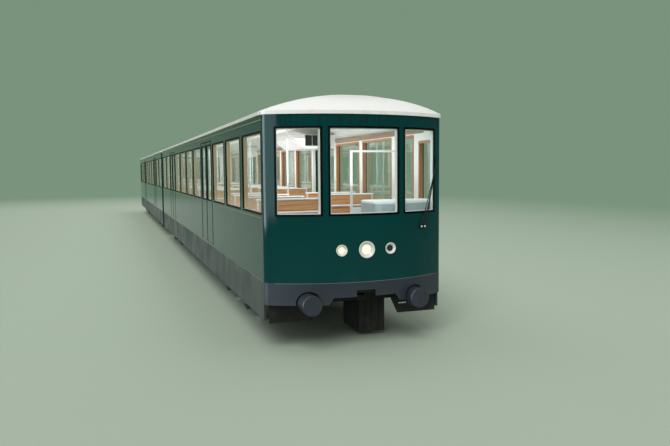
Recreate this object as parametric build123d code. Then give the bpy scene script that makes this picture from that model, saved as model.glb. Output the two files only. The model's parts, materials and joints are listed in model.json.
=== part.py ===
# Funicular car: two passenger sections hinged together, each on two four-wheeled bogies.
# X runs across the car, Y along it with the downhill nose at -Y, and Z up from the wheel flanges.
# Sizes are in millimetres. A section is built with its nose at -Y, and the upper one is turned round.

import os
from math import asin, cos, radians, sin, sqrt, tan

from build123d import *

# Body shell
BODY_WIDTH = 2500
NOSE_BOW = 360
CORNER_RADIUS = 100
NOSE_SEAM_MARGIN = 12
WALL = 70
END_WALL = 60
EAVE_Z = 3040
WAIST_Z = 916
SECTION_GAP = 600

# Bays of one section, counted from the nose corner: kind, length
WINDOW_BAY = 1400
DOOR_BAY = 1500
BAYS = (
    [("window", WINDOW_BAY)] * 3
    + [("door", DOOR_BAY)]
    + [("window", WINDOW_BAY)] * 4
    + [("door", DOOR_BAY)]
    + [("window", WINDOW_BAY)] * 2
)

# Side windows and doors
PILLAR = 160
WINDOW_SILL_Z = 1772
WINDOW_HEAD_Z = 2845
WINDOW_RADIUS = 22
PANEL_GROOVE = 5
PANEL_GROOVE_DEPTH = 4
DOOR_WIDTH = 1380
DOOR_HEAD_Z = 2905
DOOR_LEAF = 50
DOOR_GAP = 6
DOOR_STILE = 62
END_WINDOW_WIDTH = 1500

# The post that splits the driver's side window: its middle, from the nose corner
CAB_POST = 604
CAB_WINDOW_HEAD_Z = 2750

# Nose windows
NOSE_SILL_Z = 1762
NOSE_HEAD_Z = 2890
NOSE_PANE_RADIUS = 16
NOSE_CENTRE_PANE = 972
NOSE_CORNER_POST = 128
NOSE_PILLAR = 68

# Glazing
SEAL_WIDTH = 26
SEAL_DEPTH = 24
SEAL_PROUD = 2
GLASS = 8
GLASS_INSET = 8
GLASS_CORNER_EASE = 3
LINING_WIDTH = 34
LINING_PROUD = 8

# Roof
ROOF_OVERHANG = 25
FASCIA = 45
ROOF_RISE = 245
ROOF_SHELL = 55
ROOF_NOSE_RUN = 600
ROOF_NOSE_LIFT = 3
ROOF_TRIM = 20
ROOF_CAP_LENGTH = 100
ROOF_CAP_STEP = 10
ROOF_SEAM = 4

# Skirts
SKIRT_Z = 420
SKIRT = 30
NOSE_SKIRT_Z = 630
SKIRT_ARCH_Z = 720
SKIRT_ARCH_HALF = 430
SKIRT_ARCH_CHAMFER = 60
COUPLING_SLOT_Z = 805
COUPLING_SLOT_WIDTH = 260
SKIRT_SEAM = 4

# Underframe and floor
FLOOR = 44
SILL_WIDTH = 100
SILL_DEPTH = 150
MAIN_BEAM_SPACING = 1100
MAIN_BEAM_WIDTH = 120
MAIN_BEAM_Z = 700
CROSS_BEAM = 80
CROSS_BEAM_Z = 780
HEADSTOCK = 160
HEADSTOCK_Z = 590
HEADSTOCK_INSET = 60

# Running gear
WHEEL_RADIUS = 250
FLANGE = 26
FLANGE_WIDTH = 20
RAIL_CENTRES = 1584
TREAD = 84
ROLLER_WIDTH = 200
RIM = 46
WEB = 34
HUB_RADIUS = 105
HUB_WIDTH = 150
AXLE_RADIUS = 68
JOURNAL_RADIUS = 55
BEARING_CENTRES = 2000
BEARING_WIDTH = 130
BEARING_CLEARANCE = 0.05
BEARING_END_PLAY = 10
AXLE_BOX = 210
AXLE_BOX_END = 28
AXLE_COVER_RADIUS = 80
AXLE_COVER = 14
WHEELBASE = 1700
BOGIE_FROM_CORNER = 2900
BOGIE_CENTRES = 9600
SIDE_FRAME_Z = 250
SIDE_FRAME_TOP_Z = 400
SIDE_FRAME_RISE = 45
SIDE_FRAME_WIDTH = 110
TRANSOM_WIDTH = 320
TRANSOM_Z = 280
TRANSOM_DEPTH = 130
PIVOT_BOSS_RADIUS = 140
PIVOT_BOSS_HEIGHT = 60
PIVOT_RADIUS = 70
PIVOT_CLEARANCE = 0.05
BOLSTER_Z = 600
BOLSTER_LENGTH = 420
SPRING_SEAT = 40
SPRING_RADIUS = 150
SPRING_NECK = 100
SPRING_PLATE = 16
MOVING_CLEARANCE = 8

# Jaws of the rail brake, one each side of the left rail's head
JAW_GAP = 96
JAW_THICKNESS = 34
JAW_LENGTH = 240
JAW_FOOT_Z = 14
JAW_TOE = 9

# Buffers, guard plates, lamps and wiper
BUFFER_SPACING = 1480
BUFFER_Z = 655
BUFFER_RADIUS = 132
BUFFER_BEVEL = 12
BUFFER_HEAD_BEHIND = 60
BUFFER_REACH = 410
BUFFER_SHANK_RADIUS = 62
BUFFER_HOLE_CLEARANCE = 20
GUARD_THICKNESS = 16
GUARD_INSET = 60
GUARD_TOP_INNER = 480
GUARD_FOOT_INNER = 622
GUARD_FOOT_Z = 376
GUARD_SLOT = 120
GUARD_SLOT_HEIGHT = 22
GUARD_SLOT_X = 695
GUARD_SLOT_Z = 509
LAMP_Z = 1325
LAMP_DEPTH = 50
LAMP_PROUD = 14
LAMP_LIP = 9
LAMP_LIP_ROUND = 6
LAMP_LENS = 18
LAMP_LENS_BEHIND = 10
LAMP_LENS_ROUND = 7
LAMP_FIT = 0.3
# Lamps: place across the nose, radius of the ring, radius of the lens
LAMPS = [(-325, 75, 45), (6, 110, 64), (345, 75, 42)]

# Inside
SEAT_PITCH = 860
AISLE = 440
SEAT_HEIGHT = 420
SEAT_DEPTH = 430
SEAT_BACK_HEIGHT = 960
SEAT_BACK_LEAN = 90
SEAT_BOARD = 26
SLAT = 58
SLAT_GAP = 12
SLAT_BATTEN = 8
BACK_RAIL_DROP = 185
TUBE_RADIUS = 15
POST_RADIUS = 13
WALL_CLEARANCE = 20
POLE_RADIUS = 17
CONSOLE_HEIGHT = 970
CONSOLE_DEPTH = 350
CONSOLE_LEFT = 210
CONSOLE_CORNER = 120
CONSOLE_ROUND = 20
PARTITION_LEFT = 400
PARTITION_FROM_CORNER = 1250
PARTITION = 30
PARTITION_HEIGHT = 1680
LEFT_SEATS_FROM_CORNER = 650
RIGHT_SEATS_FROM_CORNER = 1650
SEAT_END_ROOM = 60
TUBE_FIT = 0.3
PELMET_DEPTH = 190
PELMET_Z = 2770
PELMET_TOP_Z = 3035
DOOR_GEAR_FOOT_X = 560
DOOR_GEAR_TIP_X = 255

# Section link: one eye rocks on a pin along X, the other turns on a pin along Z
LINK_Z = 680
LINK_PIN_Y = 150
LINK_WIDTH = 120
LINK_DEPTH = 90
LINK_EYE_RADIUS = 75
LINK_PIN_RADIUS = 35
LINK_PIN_CLEARANCE = 0.05
LINK_SIDE_CLEARANCE = 6
LINK_CHEEK = 34
LINK_PIN_END = 10

# Tow lug
TOW_LUG_Z = 650
TOW_LUG = 60
TOW_LUG_WIDTH = 140
TOW_HOLE_RADIUS = 27.5
TOW_HOLE_REACH = 120

# Wiper
WIPER_PIVOT_Z = 1582
WIPER_PIVOT_INSIDE = 280
WIPER_PIVOT_RADIUS = 18
WIPER_ARM_SPACING = 58
WIPER_ARM_RADIUS = 6
WIPER_ARM_STAND_OFF = 34
WIPER_FOOT_INSIDE = 146
WIPER_FOOT_Z = 1794
WIPER_TIP_OUTSIDE = 24
WIPER_TIP_Z = 2486
WIPER_HOLD = 0.72
WIPER_BLADE_RADIUS = 8
WIPER_BLADE_STAND_OFF = 20
WIPER_LIP_RADIUS = 5
WIPER_LIP_STAND_OFF = 11

# Worked out from the sizes above
HALF_WIDTH = BODY_WIDTH / 2
HALF_GAP = SECTION_GAP / 2
SEAT_WIDTH = HALF_WIDTH - WALL - WALL_CLEARANCE - AISLE / 2
BODY_LENGTH = sum(length for kind, length in BAYS)
BACK_Y = -HALF_GAP
CORNER_Y = BACK_Y - BODY_LENGTH
BOW_RADIUS = (HALF_WIDTH**2 + NOSE_BOW**2) / (2 * NOSE_BOW)
BOW_CENTRE_Y = CORNER_Y - NOSE_BOW + BOW_RADIUS
CORNER_RUN = CORNER_RADIUS * tan((radians(90) - asin(HALF_WIDTH / BOW_RADIUS)) / 2)
NOSE_SEAM_Y = CORNER_Y + CORNER_RUN + NOSE_SEAM_MARGIN
FLOOR_Z = WAIST_Z + FLOOR
INSIDE_HALF = HALF_WIDTH - WALL
AXLE_Z = WHEEL_RADIUS + FLANGE
BEAM_HALF = MAIN_BEAM_SPACING / 2
SILL_Z = WAIST_Z - SILL_DEPTH
HEADSTOCK_YS = [CORNER_Y + HEADSTOCK_INSET, BACK_Y - HEADSTOCK]
BOGIE_YS = [CORNER_Y + BOGIE_FROM_CORNER, CORNER_Y + BOGIE_FROM_CORNER + BOGIE_CENTRES]
FAR = 20000
LEFT = "left"
RIGHT = "right"


def block(x0, x1, y0, y1, z0, z1):
    """A box between two corners."""
    centre = Pos((x0 + x1) / 2, (y0 + y1) / 2, (z0 + z1) / 2)
    return centre * Box(abs(x1 - x0), abs(y1 - y0), abs(z1 - z0))


def upright(radius, x, y, z0, z1):
    """A round bar along Z."""
    return Pos(x, y, (z0 + z1) / 2) * Cylinder(radius, z1 - z0)


def crossbar(radius, x0, x1, y, z):
    """A round bar along X."""
    return Pos((x0 + x1) / 2, y, z) * Rot(0, 90, 0) * Cylinder(radius, abs(x1 - x0))


def lengthbar(radius, x, y0, y1, z):
    """A round bar along Y."""
    return Pos(x, (y0 + y1) / 2, z) * Rot(90, 0, 0) * Cylinder(radius, abs(y1 - y0))


def mirrored(shape):
    """The same piece on the other side of the car."""
    return mirror(shape, about=Plane.YZ)


def both_sides(shape):
    """A piece and its mirror image, as separate solids."""
    return [shape, mirrored(shape)]


def on_side(side, shape):
    """A piece drawn on the right, put on the side that is asked for."""
    return mirrored(shape) if side == LEFT else shape


def plan(inset, back_y=BACK_Y):
    """The body's outline from above, moved in by an inset: straight sides and a bowed nose."""
    half = HALF_WIDTH - inset
    bow = BOW_RADIUS - inset
    corner = max(CORNER_RADIUS - inset, CORNER_RADIUS / 4)
    corner_x = half - corner
    lean = asin(corner_x / (bow - corner))
    corner_y = BOW_CENTRE_Y - (bow - corner) * cos(lean)
    turn = (radians(90) + lean) / 2
    bow_end = (bow * sin(lean), BOW_CENTRE_Y - bow * cos(lean))
    corner_middle = (corner_x + corner * sin(turn), corner_y - corner * cos(turn))
    outline = [
        Line((-half, back_y), (-half, corner_y)),
        ThreePointArc((-half, corner_y), (-corner_middle[0], corner_middle[1]), (-bow_end[0], bow_end[1])),
        ThreePointArc((-bow_end[0], bow_end[1]), (0, BOW_CENTRE_Y - bow), bow_end),
        ThreePointArc(bow_end, corner_middle, (half, corner_y)),
        Line((half, corner_y), (half, back_y)),
        Line((half, back_y), (-half, back_y)),
    ]
    return make_face(outline)


def body_slab(inset, z0, z1, back_y=BACK_Y):
    """The body's outline as a solid between two heights."""
    return extrude(Pos(0, 0, z0) * plan(inset, back_y), z1 - z0)


def nose_shell(outer, inner, z0, z1, back_y):
    """A curved wall round the nose, between two insets."""
    return body_slab(outer, z0, z1, back_y) - body_slab(inner, z0, z1, back_y + 1)


def side_hole(x0, x1, y0, y1, z0, z1, radius):
    """A round-cornered prism through a side wall."""
    outline = RectangleRounded(y1 - y0, z1 - z0, radius)
    return extrude(Plane.YZ.offset(x0) * Pos((y0 + y1) / 2, (z0 + z1) / 2) * outline, x1 - x0)


def end_hole(x0, x1, z0, z1, y0, y1, radius):
    """A round-cornered prism along the car."""
    outline = RectangleRounded(x1 - x0, z1 - z0, radius)
    place = Plane.XZ.offset(-y1) * Pos((x0 + x1) / 2, (z0 + z1) / 2)
    return extrude(place * outline, y1 - y0)


def bays_of(kind):
    """Start and end of each bay of one kind, along Y."""
    found = []
    start = CORNER_Y
    for bay_kind, length in BAYS:
        if bay_kind == kind:
            found.append((start, start + length))
        start += length
    return found


def side_windows(side):
    """Edges of one side's window holes: two along Y, two along Z. The driver's side has a post more."""
    half = PILLAR / 2
    holes = [(y0 + half, y1 - half, WINDOW_SILL_Z, WINDOW_HEAD_Z) for y0, y1 in bays_of("window")]
    if side == LEFT:
        return holes
    post = CORNER_Y + CAB_POST
    start, end, sill, head = holes[0]
    return [(start, post - half, sill, CAB_WINDOW_HEAD_Z), (post + half, end, sill, head)] + holes[1:]


def doorways():
    """Edges of the doorways along Y."""
    middles = [(y0 + y1) / 2 for y0, y1 in bays_of("door")]
    return [(middle - DOOR_WIDTH / 2, middle + DOOR_WIDTH / 2) for middle in middles]


def nose_windows():
    """Edges of the three nose window holes across X."""
    inner = NOSE_CENTRE_PANE / 2 + NOSE_PILLAR
    outer = HALF_WIDTH - NOSE_CORNER_POST
    return [(-outer, -inner), (-NOSE_CENTRE_PANE / 2, NOSE_CENTRE_PANE / 2), (inner, outer)]


def side_wall(side):
    """One side wall of a section, with its windows and doorways cut."""
    wall = block(INSIDE_HALF, HALF_WIDTH, NOSE_SEAM_Y, BACK_Y, WAIST_Z, EAVE_Z)
    x0 = INSIDE_HALF - WALL
    x1 = HALF_WIDTH + WALL
    for edges in side_windows(side):
        wall -= side_hole(x0, x1, *edges, WINDOW_RADIUS)
    for y0, y1 in doorways():
        wall -= block(x0, x1, y0, y1, FLOOR_Z, DOOR_HEAD_Z)
    for y0, y1 in bays_of("door"):
        for y in (y0, y1):
            wall -= side_groove(y)
    return on_side(side, wall)


def side_groove(y):
    """The joint between two side panels, from the waist to the window sills."""
    half = PANEL_GROOVE / 2
    depth = HALF_WIDTH - PANEL_GROOVE_DEPTH
    return block(depth, HALF_WIDTH + 1, y - half, y + half, WAIST_Z - 1, WINDOW_SILL_Z - WINDOW_RADIUS)


def nose():
    """The moulded front, with three windows and three lamp seats."""
    shell = nose_shell(0, WALL, WAIST_Z, EAVE_Z, NOSE_SEAM_Y)
    front = CORNER_Y - NOSE_BOW - WALL
    for x0, x1 in nose_windows():
        shell -= end_hole(x0, x1, NOSE_SILL_Z, NOSE_HEAD_Z, front, NOSE_SEAM_Y, NOSE_PANE_RADIUS)
    for x, radius, lens_radius in LAMPS:
        shell -= lengthbar(radius, x, front, nose_y_at(x) + LAMP_DEPTH, LAMP_Z)
    return shell


def nose_y_at(x, inset=0):
    """The nose's outer face at a place across the car."""
    return BOW_CENTRE_Y - sqrt((BOW_RADIUS - inset) ** 2 - x**2)


def nose_pane(x0, x1, trim, outer, inner):
    """The part of the nose's curved wall that lies within a window, between two insets."""
    window = end_hole(
        x0 + trim,
        x1 - trim,
        NOSE_SILL_Z + trim,
        NOSE_HEAD_Z - trim,
        CORNER_Y - NOSE_BOW - WALL,
        NOSE_SEAM_Y,
        max(NOSE_PANE_RADIUS - trim, NOSE_PANE_RADIUS / 4),
    )
    return window & nose_shell(outer, inner, WAIST_Z, EAVE_Z, NOSE_SEAM_Y)


def end_wall():
    """The flat wall at the hinged end, with one window."""
    wall = block(-INSIDE_HALF, INSIDE_HALF, BACK_Y - END_WALL, BACK_Y, FLOOR_Z, EAVE_Z)
    half = END_WINDOW_WIDTH / 2
    y0 = BACK_Y - 2 * END_WALL
    y1 = BACK_Y + END_WALL
    return wall - end_hole(-half, half, WINDOW_SILL_Z, WINDOW_HEAD_Z, y0, y1, WINDOW_RADIUS)


def dome_height(radius, crown, distance):
    """Height of an arc of the roof at a distance from where it is level."""
    return crown - radius + sqrt(radius**2 - distance**2)


def ceiling_z(x):
    """Height of the domed ceiling at a place across the car."""
    half = HALF_WIDTH + ROOF_OVERHANG
    arch = (half**2 + ROOF_RISE**2) / (2 * ROOF_RISE)
    return dome_height(arch, EAVE_Z + FASCIA + ROOF_RISE - ROOF_SHELL, x)


def roof_form(drop, inset):
    """The domed roof as a solid: arched across the car, and rounded down all along the bow."""
    crown = EAVE_Z + FASCIA + ROOF_RISE - drop
    bottom = EAVE_Z - 1
    half = HALF_WIDTH + ROOF_OVERHANG
    arch = (half**2 + ROOF_RISE**2) / (2 * ROOF_RISE)
    reach = half - inset + ROOF_TRIM
    edge = dome_height(arch, crown, reach)
    section = make_face(
        [
            Line((-reach, bottom), (-reach, edge)),
            ThreePointArc((-reach, edge), (0, crown), (reach, edge)),
            Line((reach, edge), (reach, bottom)),
            Line((reach, bottom), (-reach, bottom)),
        ]
    )
    dome = extrude(Plane.XZ.offset(-BACK_Y) * section, BODY_LENGTH + NOSE_BOW * 2)
    bow = BOW_RADIUS + ROOF_OVERHANG
    rise = ROOF_RISE + ROOF_NOSE_LIFT
    top = crown + ROOF_NOSE_LIFT
    turn = (ROOF_NOSE_RUN**2 + rise**2) / (2 * rise)
    level = bow - ROOF_NOSE_RUN
    tip = bow - inset + ROOF_TRIM
    halfway = (level + tip) / 2
    profile = make_face(
        [
            Line((0, bottom), (tip, bottom)),
            Line((tip, bottom), (tip, dome_height(turn, top, tip - level))),
            ThreePointArc(
                (tip, dome_height(turn, top, tip - level)),
                (halfway, dome_height(turn, top, halfway - level)),
                (level, top),
            ),
            Line((level, top), (0, top)),
            Line((0, top), (0, bottom)),
        ]
    )
    rounded = Pos(0, BOW_CENTRE_Y, 0) * revolve(Plane.XZ * profile, Axis.Z)
    straight = block(-BODY_WIDTH, BODY_WIDTH, BOW_CENTRE_Y, BACK_Y, bottom, top)
    return dome & (rounded + straight) & body_slab(inset - ROOF_OVERHANG, EAVE_Z, top)


def roof():
    """The white roof: a main shell, and a moulded cap over the nose that lies a step lower."""
    hollow = roof_form(ROOF_SHELL, ROOF_OVERHANG + WALL)
    cap_end = CORNER_Y + ROOF_CAP_LENGTH
    cap = roof_form(ROOF_CAP_STEP, ROOF_CAP_STEP) - hollow
    cap -= block(-BODY_WIDTH, BODY_WIDTH, cap_end, FAR, EAVE_Z - 1, FAR)
    shell = roof_form(0, 0) - hollow
    shell -= block(-BODY_WIDTH, BODY_WIDTH, -FAR, cap_end + ROOF_SEAM, EAVE_Z - 1, FAR)
    return [cap, shell]


def pane(y0, y1, z0, z1, trim, radius):
    """A flat pane of glass in the right wall."""
    x1 = HALF_WIDTH - GLASS_INSET
    return side_hole(x1 - GLASS, x1, y0 + trim, y1 - trim, z0 + trim, z1 - trim, radius)


def window_ring(y0, y1, z0, z1, x0, x1, width, radius):
    """A round-cornered ring in the right wall, round a window."""
    outside = side_hole(x0, x1, y0, y1, z0, z1, radius)
    inside = (y0 + width, y1 - width, z0 + width, z1 - width)
    return outside - side_hole(x0 - 1, x1 + 1, *inside, max(radius - width, radius / 4))


def door_edges():
    """Edges of each door leaf along Y, two leaves to a doorway."""
    leaves = []
    for y0, y1 in doorways():
        middle = (y0 + y1) / 2
        leaves.append((y0 + DOOR_GAP, middle - DOOR_GAP / 2))
        leaves.append((middle + DOOR_GAP / 2, y1 - DOOR_GAP))
    return leaves


def door_windows():
    """Edges of the window hole in each door leaf: two along Y, two along Z."""
    heights = (WINDOW_SILL_Z, WINDOW_HEAD_Z)
    return [(y0 + DOOR_STILE, y1 - DOOR_STILE, *heights) for y0, y1 in door_edges()]


def glazing():
    """All panes of a section: side windows, door windows, end window and curved nose."""
    panes = nose_glass()
    corner = max(WINDOW_RADIUS - SEAL_WIDTH, WINDOW_RADIUS / 4) + GLASS_CORNER_EASE
    for side in (LEFT, RIGHT):
        for edges in side_windows(side):
            panes.append(on_side(side, pane(*edges, SEAL_WIDTH, corner)))
    for edges in door_windows():
        panes += both_sides(pane(*edges, SEAL_WIDTH, corner))
    half = END_WINDOW_WIDTH / 2 - SEAL_WIDTH
    y1 = BACK_Y - GLASS_INSET
    z0 = WINDOW_SILL_Z + SEAL_WIDTH
    z1 = WINDOW_HEAD_Z - SEAL_WIDTH
    panes.append(end_hole(-half, half, z0, z1, y1 - GLASS, y1, corner))
    return panes


def nose_glass():
    """The three curved panes of the nose."""
    return [
        nose_pane(x0, x1, SEAL_WIDTH, GLASS_INSET, GLASS_INSET + GLASS) for x0, x1 in nose_windows()
    ]


def window_seals():
    """The black rubber round every pane."""
    seals = []
    x0 = HALF_WIDTH - SEAL_DEPTH
    x1 = HALF_WIDTH + SEAL_PROUD
    for side in (LEFT, RIGHT):
        for edges in side_windows(side):
            seals.append(on_side(side, window_ring(*edges, x0, x1, SEAL_WIDTH, WINDOW_RADIUS)))
    for edges in door_windows():
        seals += both_sides(window_ring(*edges, x0, x1, SEAL_WIDTH, WINDOW_RADIUS))
    for left, right in nose_windows():
        ring = nose_pane(left, right, 0, -SEAL_PROUD, SEAL_DEPTH)
        seals.append(ring - nose_pane(left, right, SEAL_WIDTH, -SEAL_PROUD - 1, SEAL_DEPTH + 1))
    half = END_WINDOW_WIDTH / 2
    y0 = BACK_Y - SEAL_DEPTH
    y1 = BACK_Y + SEAL_PROUD
    ring = end_hole(-half, half, WINDOW_SILL_Z, WINDOW_HEAD_Z, y0, y1, WINDOW_RADIUS)
    inner = half - SEAL_WIDTH
    z0 = WINDOW_SILL_Z + SEAL_WIDTH
    z1 = WINDOW_HEAD_Z - SEAL_WIDTH
    corner = max(WINDOW_RADIUS - SEAL_WIDTH, WINDOW_RADIUS / 4)
    seals.append(ring - end_hole(-inner, inner, z0, z1, y0 - 1, y1 + 1, corner))
    return seals


def window_linings():
    """The wooden frames inside the side and nose windows."""
    linings = []
    x0 = INSIDE_HALF - LINING_PROUD
    x1 = HALF_WIDTH - SEAL_DEPTH
    for side in (LEFT, RIGHT):
        for edges in side_windows(side):
            linings.append(on_side(side, window_ring(*edges, x0, x1, LINING_WIDTH, WINDOW_RADIUS)))
    for left, right in nose_windows():
        ring = nose_pane(left, right, 0, SEAL_DEPTH, WALL + LINING_PROUD)
        hole = nose_pane(left, right, LINING_WIDTH, SEAL_DEPTH - 1, WALL + LINING_PROUD + 1)
        linings.append(ring - hole)
    return linings


def door_leaves():
    """Two leaves in every doorway, flush with the wall, each with a window cut."""
    leaves = []
    x0 = HALF_WIDTH - DOOR_LEAF
    for (y0, y1), (a, b, z0, head) in zip(door_edges(), door_windows()):
        leaf = block(x0, HALF_WIDTH, y0, y1, FLOOR_Z + DOOR_GAP, DOOR_HEAD_Z)
        leaf -= side_hole(x0 - 1, HALF_WIDTH + 1, a, b, z0, head, WINDOW_RADIUS)
        leaves += both_sides(leaf)
    return leaves


def skirts():
    """The grey side skirts and the notched nose skirt."""
    side = block(HALF_WIDTH - SKIRT, HALF_WIDTH, NOSE_SEAM_Y, BACK_Y, SKIRT_Z, WAIST_Z)
    end = NOSE_SEAM_Y - SKIRT_SEAM
    front = nose_shell(0, SKIRT, NOSE_SKIRT_Z, WAIST_Z, end)
    slot = COUPLING_SLOT_WIDTH / 2
    arch = SKIRT_ARCH_HALF
    foot = arch + SKIRT_ARCH_CHAMFER
    outline = Polyline(
        (-foot, NOSE_SKIRT_Z - 1),
        (-arch, SKIRT_ARCH_Z),
        (-slot, SKIRT_ARCH_Z),
        (-slot, COUPLING_SLOT_Z),
        (slot, COUPLING_SLOT_Z),
        (slot, SKIRT_ARCH_Z),
        (arch, SKIRT_ARCH_Z),
        (foot, NOSE_SKIRT_Z - 1),
        close=True,
    )
    front -= extrude(Plane.XZ.offset(-end) * make_face(outline), NOSE_BOW * 2)
    hole_radius = BUFFER_RADIUS + BUFFER_HOLE_CLEARANCE
    hole = lengthbar(hole_radius, BUFFER_SPACING / 2, CORNER_Y - NOSE_BOW, end, BUFFER_Z)
    front -= hole
    front -= mirrored(hole)
    return both_sides(side) + [front]


def floor():
    """The floor plate, inside the walls."""
    return body_slab(WALL, WAIST_Z, FLOOR_Z)


def underframe():
    """The welded frame under the floor: sills, main beams and cross beams."""
    top = WAIST_Z
    frame = body_slab(SKIRT, SILL_Z, top)
    frame -= body_slab(SKIRT + SILL_WIDTH, SILL_Z - 1, top + 1, BACK_Y - SILL_WIDTH)
    for x in (-BEAM_HALF, BEAM_HALF):
        half = MAIN_BEAM_WIDTH / 2
        frame += block(x - half, x + half, nose_y_at(x, SKIRT + SILL_WIDTH / 2), BACK_Y, MAIN_BEAM_Z, top)
    reach = HALF_WIDTH - SKIRT - SILL_WIDTH / 2
    starts = [y0 for kind in ("window", "door") for y0, y1 in bays_of(kind)]
    for y in sorted(starts)[1:]:
        frame += block(-reach, reach, y - CROSS_BEAM / 2, y + CROSS_BEAM / 2, CROSS_BEAM_Z, top)
    for y0 in HEADSTOCK_YS:
        frame -= block(-reach, reach, y0, y0 + HEADSTOCK, MAIN_BEAM_Z - 1, SILL_Z)
    room = BUFFER_RADIUS + BUFFER_HOLE_CLEARANCE
    front = CORNER_Y + HEADSTOCK_INSET
    pocket = lengthbar(room, BUFFER_SPACING / 2, CORNER_Y - NOSE_BOW, front, BUFFER_Z)
    return frame - pocket - mirrored(pocket)


def headstocks(hinge_end):
    """The deep cross beam behind the nose with its tow lug, and the one with the hinge end."""
    reach = HALF_WIDTH - SKIRT - SILL_WIDTH / 2
    rear_reach = BEAM_HALF + MAIN_BEAM_WIDTH / 2
    front_y, rear_y = HEADSTOCK_YS
    front = block(-reach, reach, front_y, front_y + HEADSTOCK, HEADSTOCK_Z, SILL_Z)
    rear = block(-rear_reach, rear_reach, rear_y, rear_y + HEADSTOCK, HEADSTOCK_Z, SILL_Z)
    return [front + tow_lug(), rear + hinge_end()]


def tow_lug():
    """The drilled lug behind the nose that a rope socket or tow bar is pinned to."""
    y = CORNER_Y - TOW_HOLE_REACH
    half = TOW_LUG_WIDTH / 2
    lug = block(-half, half, y, CORNER_Y + HEADSTOCK_INSET + 1, TOW_LUG_Z, TOW_LUG_Z + TOW_LUG)
    lug += upright(half, 0, y, TOW_LUG_Z, TOW_LUG_Z + TOW_LUG)
    return lug - upright(TOW_HOLE_RADIUS, 0, y, TOW_LUG_Z - 1, TOW_LUG_Z + TOW_LUG + 1)


def bolsters():
    """A box beam under the main beams over each bogie, with springs' seats and the pivot pin."""
    found = []
    half = BOLSTER_LENGTH / 2
    reach = BEARING_CENTRES / 2 + SPRING_RADIUS
    waist = BEAM_HALF + MAIN_BEAM_WIDTH
    outline = Polyline(
        (-reach, BOLSTER_Z),
        (reach, BOLSTER_Z),
        (reach, BOLSTER_Z + SPRING_SEAT),
        (waist, MAIN_BEAM_Z),
        (-waist, MAIN_BEAM_Z),
        (-reach, BOLSTER_Z + SPRING_SEAT),
        close=True,
    )
    for y in BOGIE_YS:
        beam = extrude(Plane.XZ.offset(-(y + half)) * make_face(outline), BOLSTER_LENGTH)
        found.append(beam + upright(PIVOT_RADIUS, 0, y, TRANSOM_Z, BOLSTER_Z + 1))
    return found


def rocking_hinge_end():
    """Two upright cheeks with a pin along X, on which the link rocks up and down."""
    pin_y = BACK_Y + HALF_GAP - LINK_PIN_Y
    inner = LINK_WIDTH / 2 + LINK_SIDE_CLEARANCE
    outer = inner + LINK_CHEEK
    cheek = block(inner, outer, BACK_Y - 1, pin_y, LINK_Z - LINK_EYE_RADIUS, LINK_Z + LINK_EYE_RADIUS)
    cheek += crossbar(LINK_EYE_RADIUS, inner, outer, pin_y, LINK_Z)
    pin = crossbar(LINK_PIN_RADIUS, -outer - LINK_PIN_END, outer + LINK_PIN_END, pin_y, LINK_Z)
    return cheek + mirrored(cheek) + pin


def turning_hinge_end():
    """Two level jaws with a pin along Z, on which the link turns from side to side."""
    pin_y = BACK_Y + HALF_GAP - LINK_PIN_Y
    inner = LINK_DEPTH / 2 + LINK_SIDE_CLEARANCE
    outer = inner + LINK_CHEEK
    half = LINK_EYE_RADIUS
    jaws = upright(LINK_PIN_RADIUS, 0, pin_y, LINK_Z - outer - LINK_PIN_END, LINK_Z + outer + LINK_PIN_END)
    for z0, z1 in [(LINK_Z - outer, LINK_Z - inner), (LINK_Z + inner, LINK_Z + outer)]:
        jaws += block(-half, half, BACK_Y - 1, pin_y, z0, z1)
        jaws += upright(half, 0, pin_y, z0, z1)
    return jaws


def side_frame(y):
    """The right side frame of a bogie: a beam that drops between its two axle boxes."""
    x = BEARING_CENTRES / 2
    half = SIDE_FRAME_WIDTH / 2
    box_half = AXLE_BOX / 2
    end = WHEELBASE / 2 + box_half
    low_end = WHEELBASE / 2 - box_half
    top = SIDE_FRAME_TOP_Z
    slope = SIDE_FRAME_RISE * 3
    outline = Polyline(
        (-end, top - SIDE_FRAME_RISE),
        (-end, top + SIDE_FRAME_RISE),
        (-low_end, top + SIDE_FRAME_RISE),
        (-low_end + slope, top),
        (low_end - slope, top),
        (low_end, top + SIDE_FRAME_RISE),
        (end, top + SIDE_FRAME_RISE),
        (end, top - SIDE_FRAME_RISE),
        (low_end, top - SIDE_FRAME_RISE),
        (low_end - slope, SIDE_FRAME_Z),
        (-low_end + slope, SIDE_FRAME_Z),
        (-low_end, top - SIDE_FRAME_RISE),
        close=True,
    )
    side = extrude(Plane.YZ.offset(x - half) * make_face(outline), SIDE_FRAME_WIDTH)
    inner = x - BEARING_WIDTH / 2
    outer = x + BEARING_WIDTH / 2 + AXLE_BOX_END
    for axle_y in (-WHEELBASE / 2, WHEELBASE / 2):
        body = block(inner, outer, axle_y - box_half, axle_y + box_half, AXLE_Z - box_half, top)
        corners = body.edges().filter_by(Axis.X).group_by(Axis.Z)[0]
        side += chamfer(corners, box_half / 2)
        side += crossbar(AXLE_COVER_RADIUS, outer, outer + AXLE_COVER, axle_y, AXLE_Z)
        bore_end = x + BEARING_WIDTH / 2 + BEARING_END_PLAY
        side -= crossbar(JOURNAL_RADIUS + BEARING_CLEARANCE, inner - 1, bore_end, axle_y, AXLE_Z)
    return Pos(0, y, 0) * side


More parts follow.
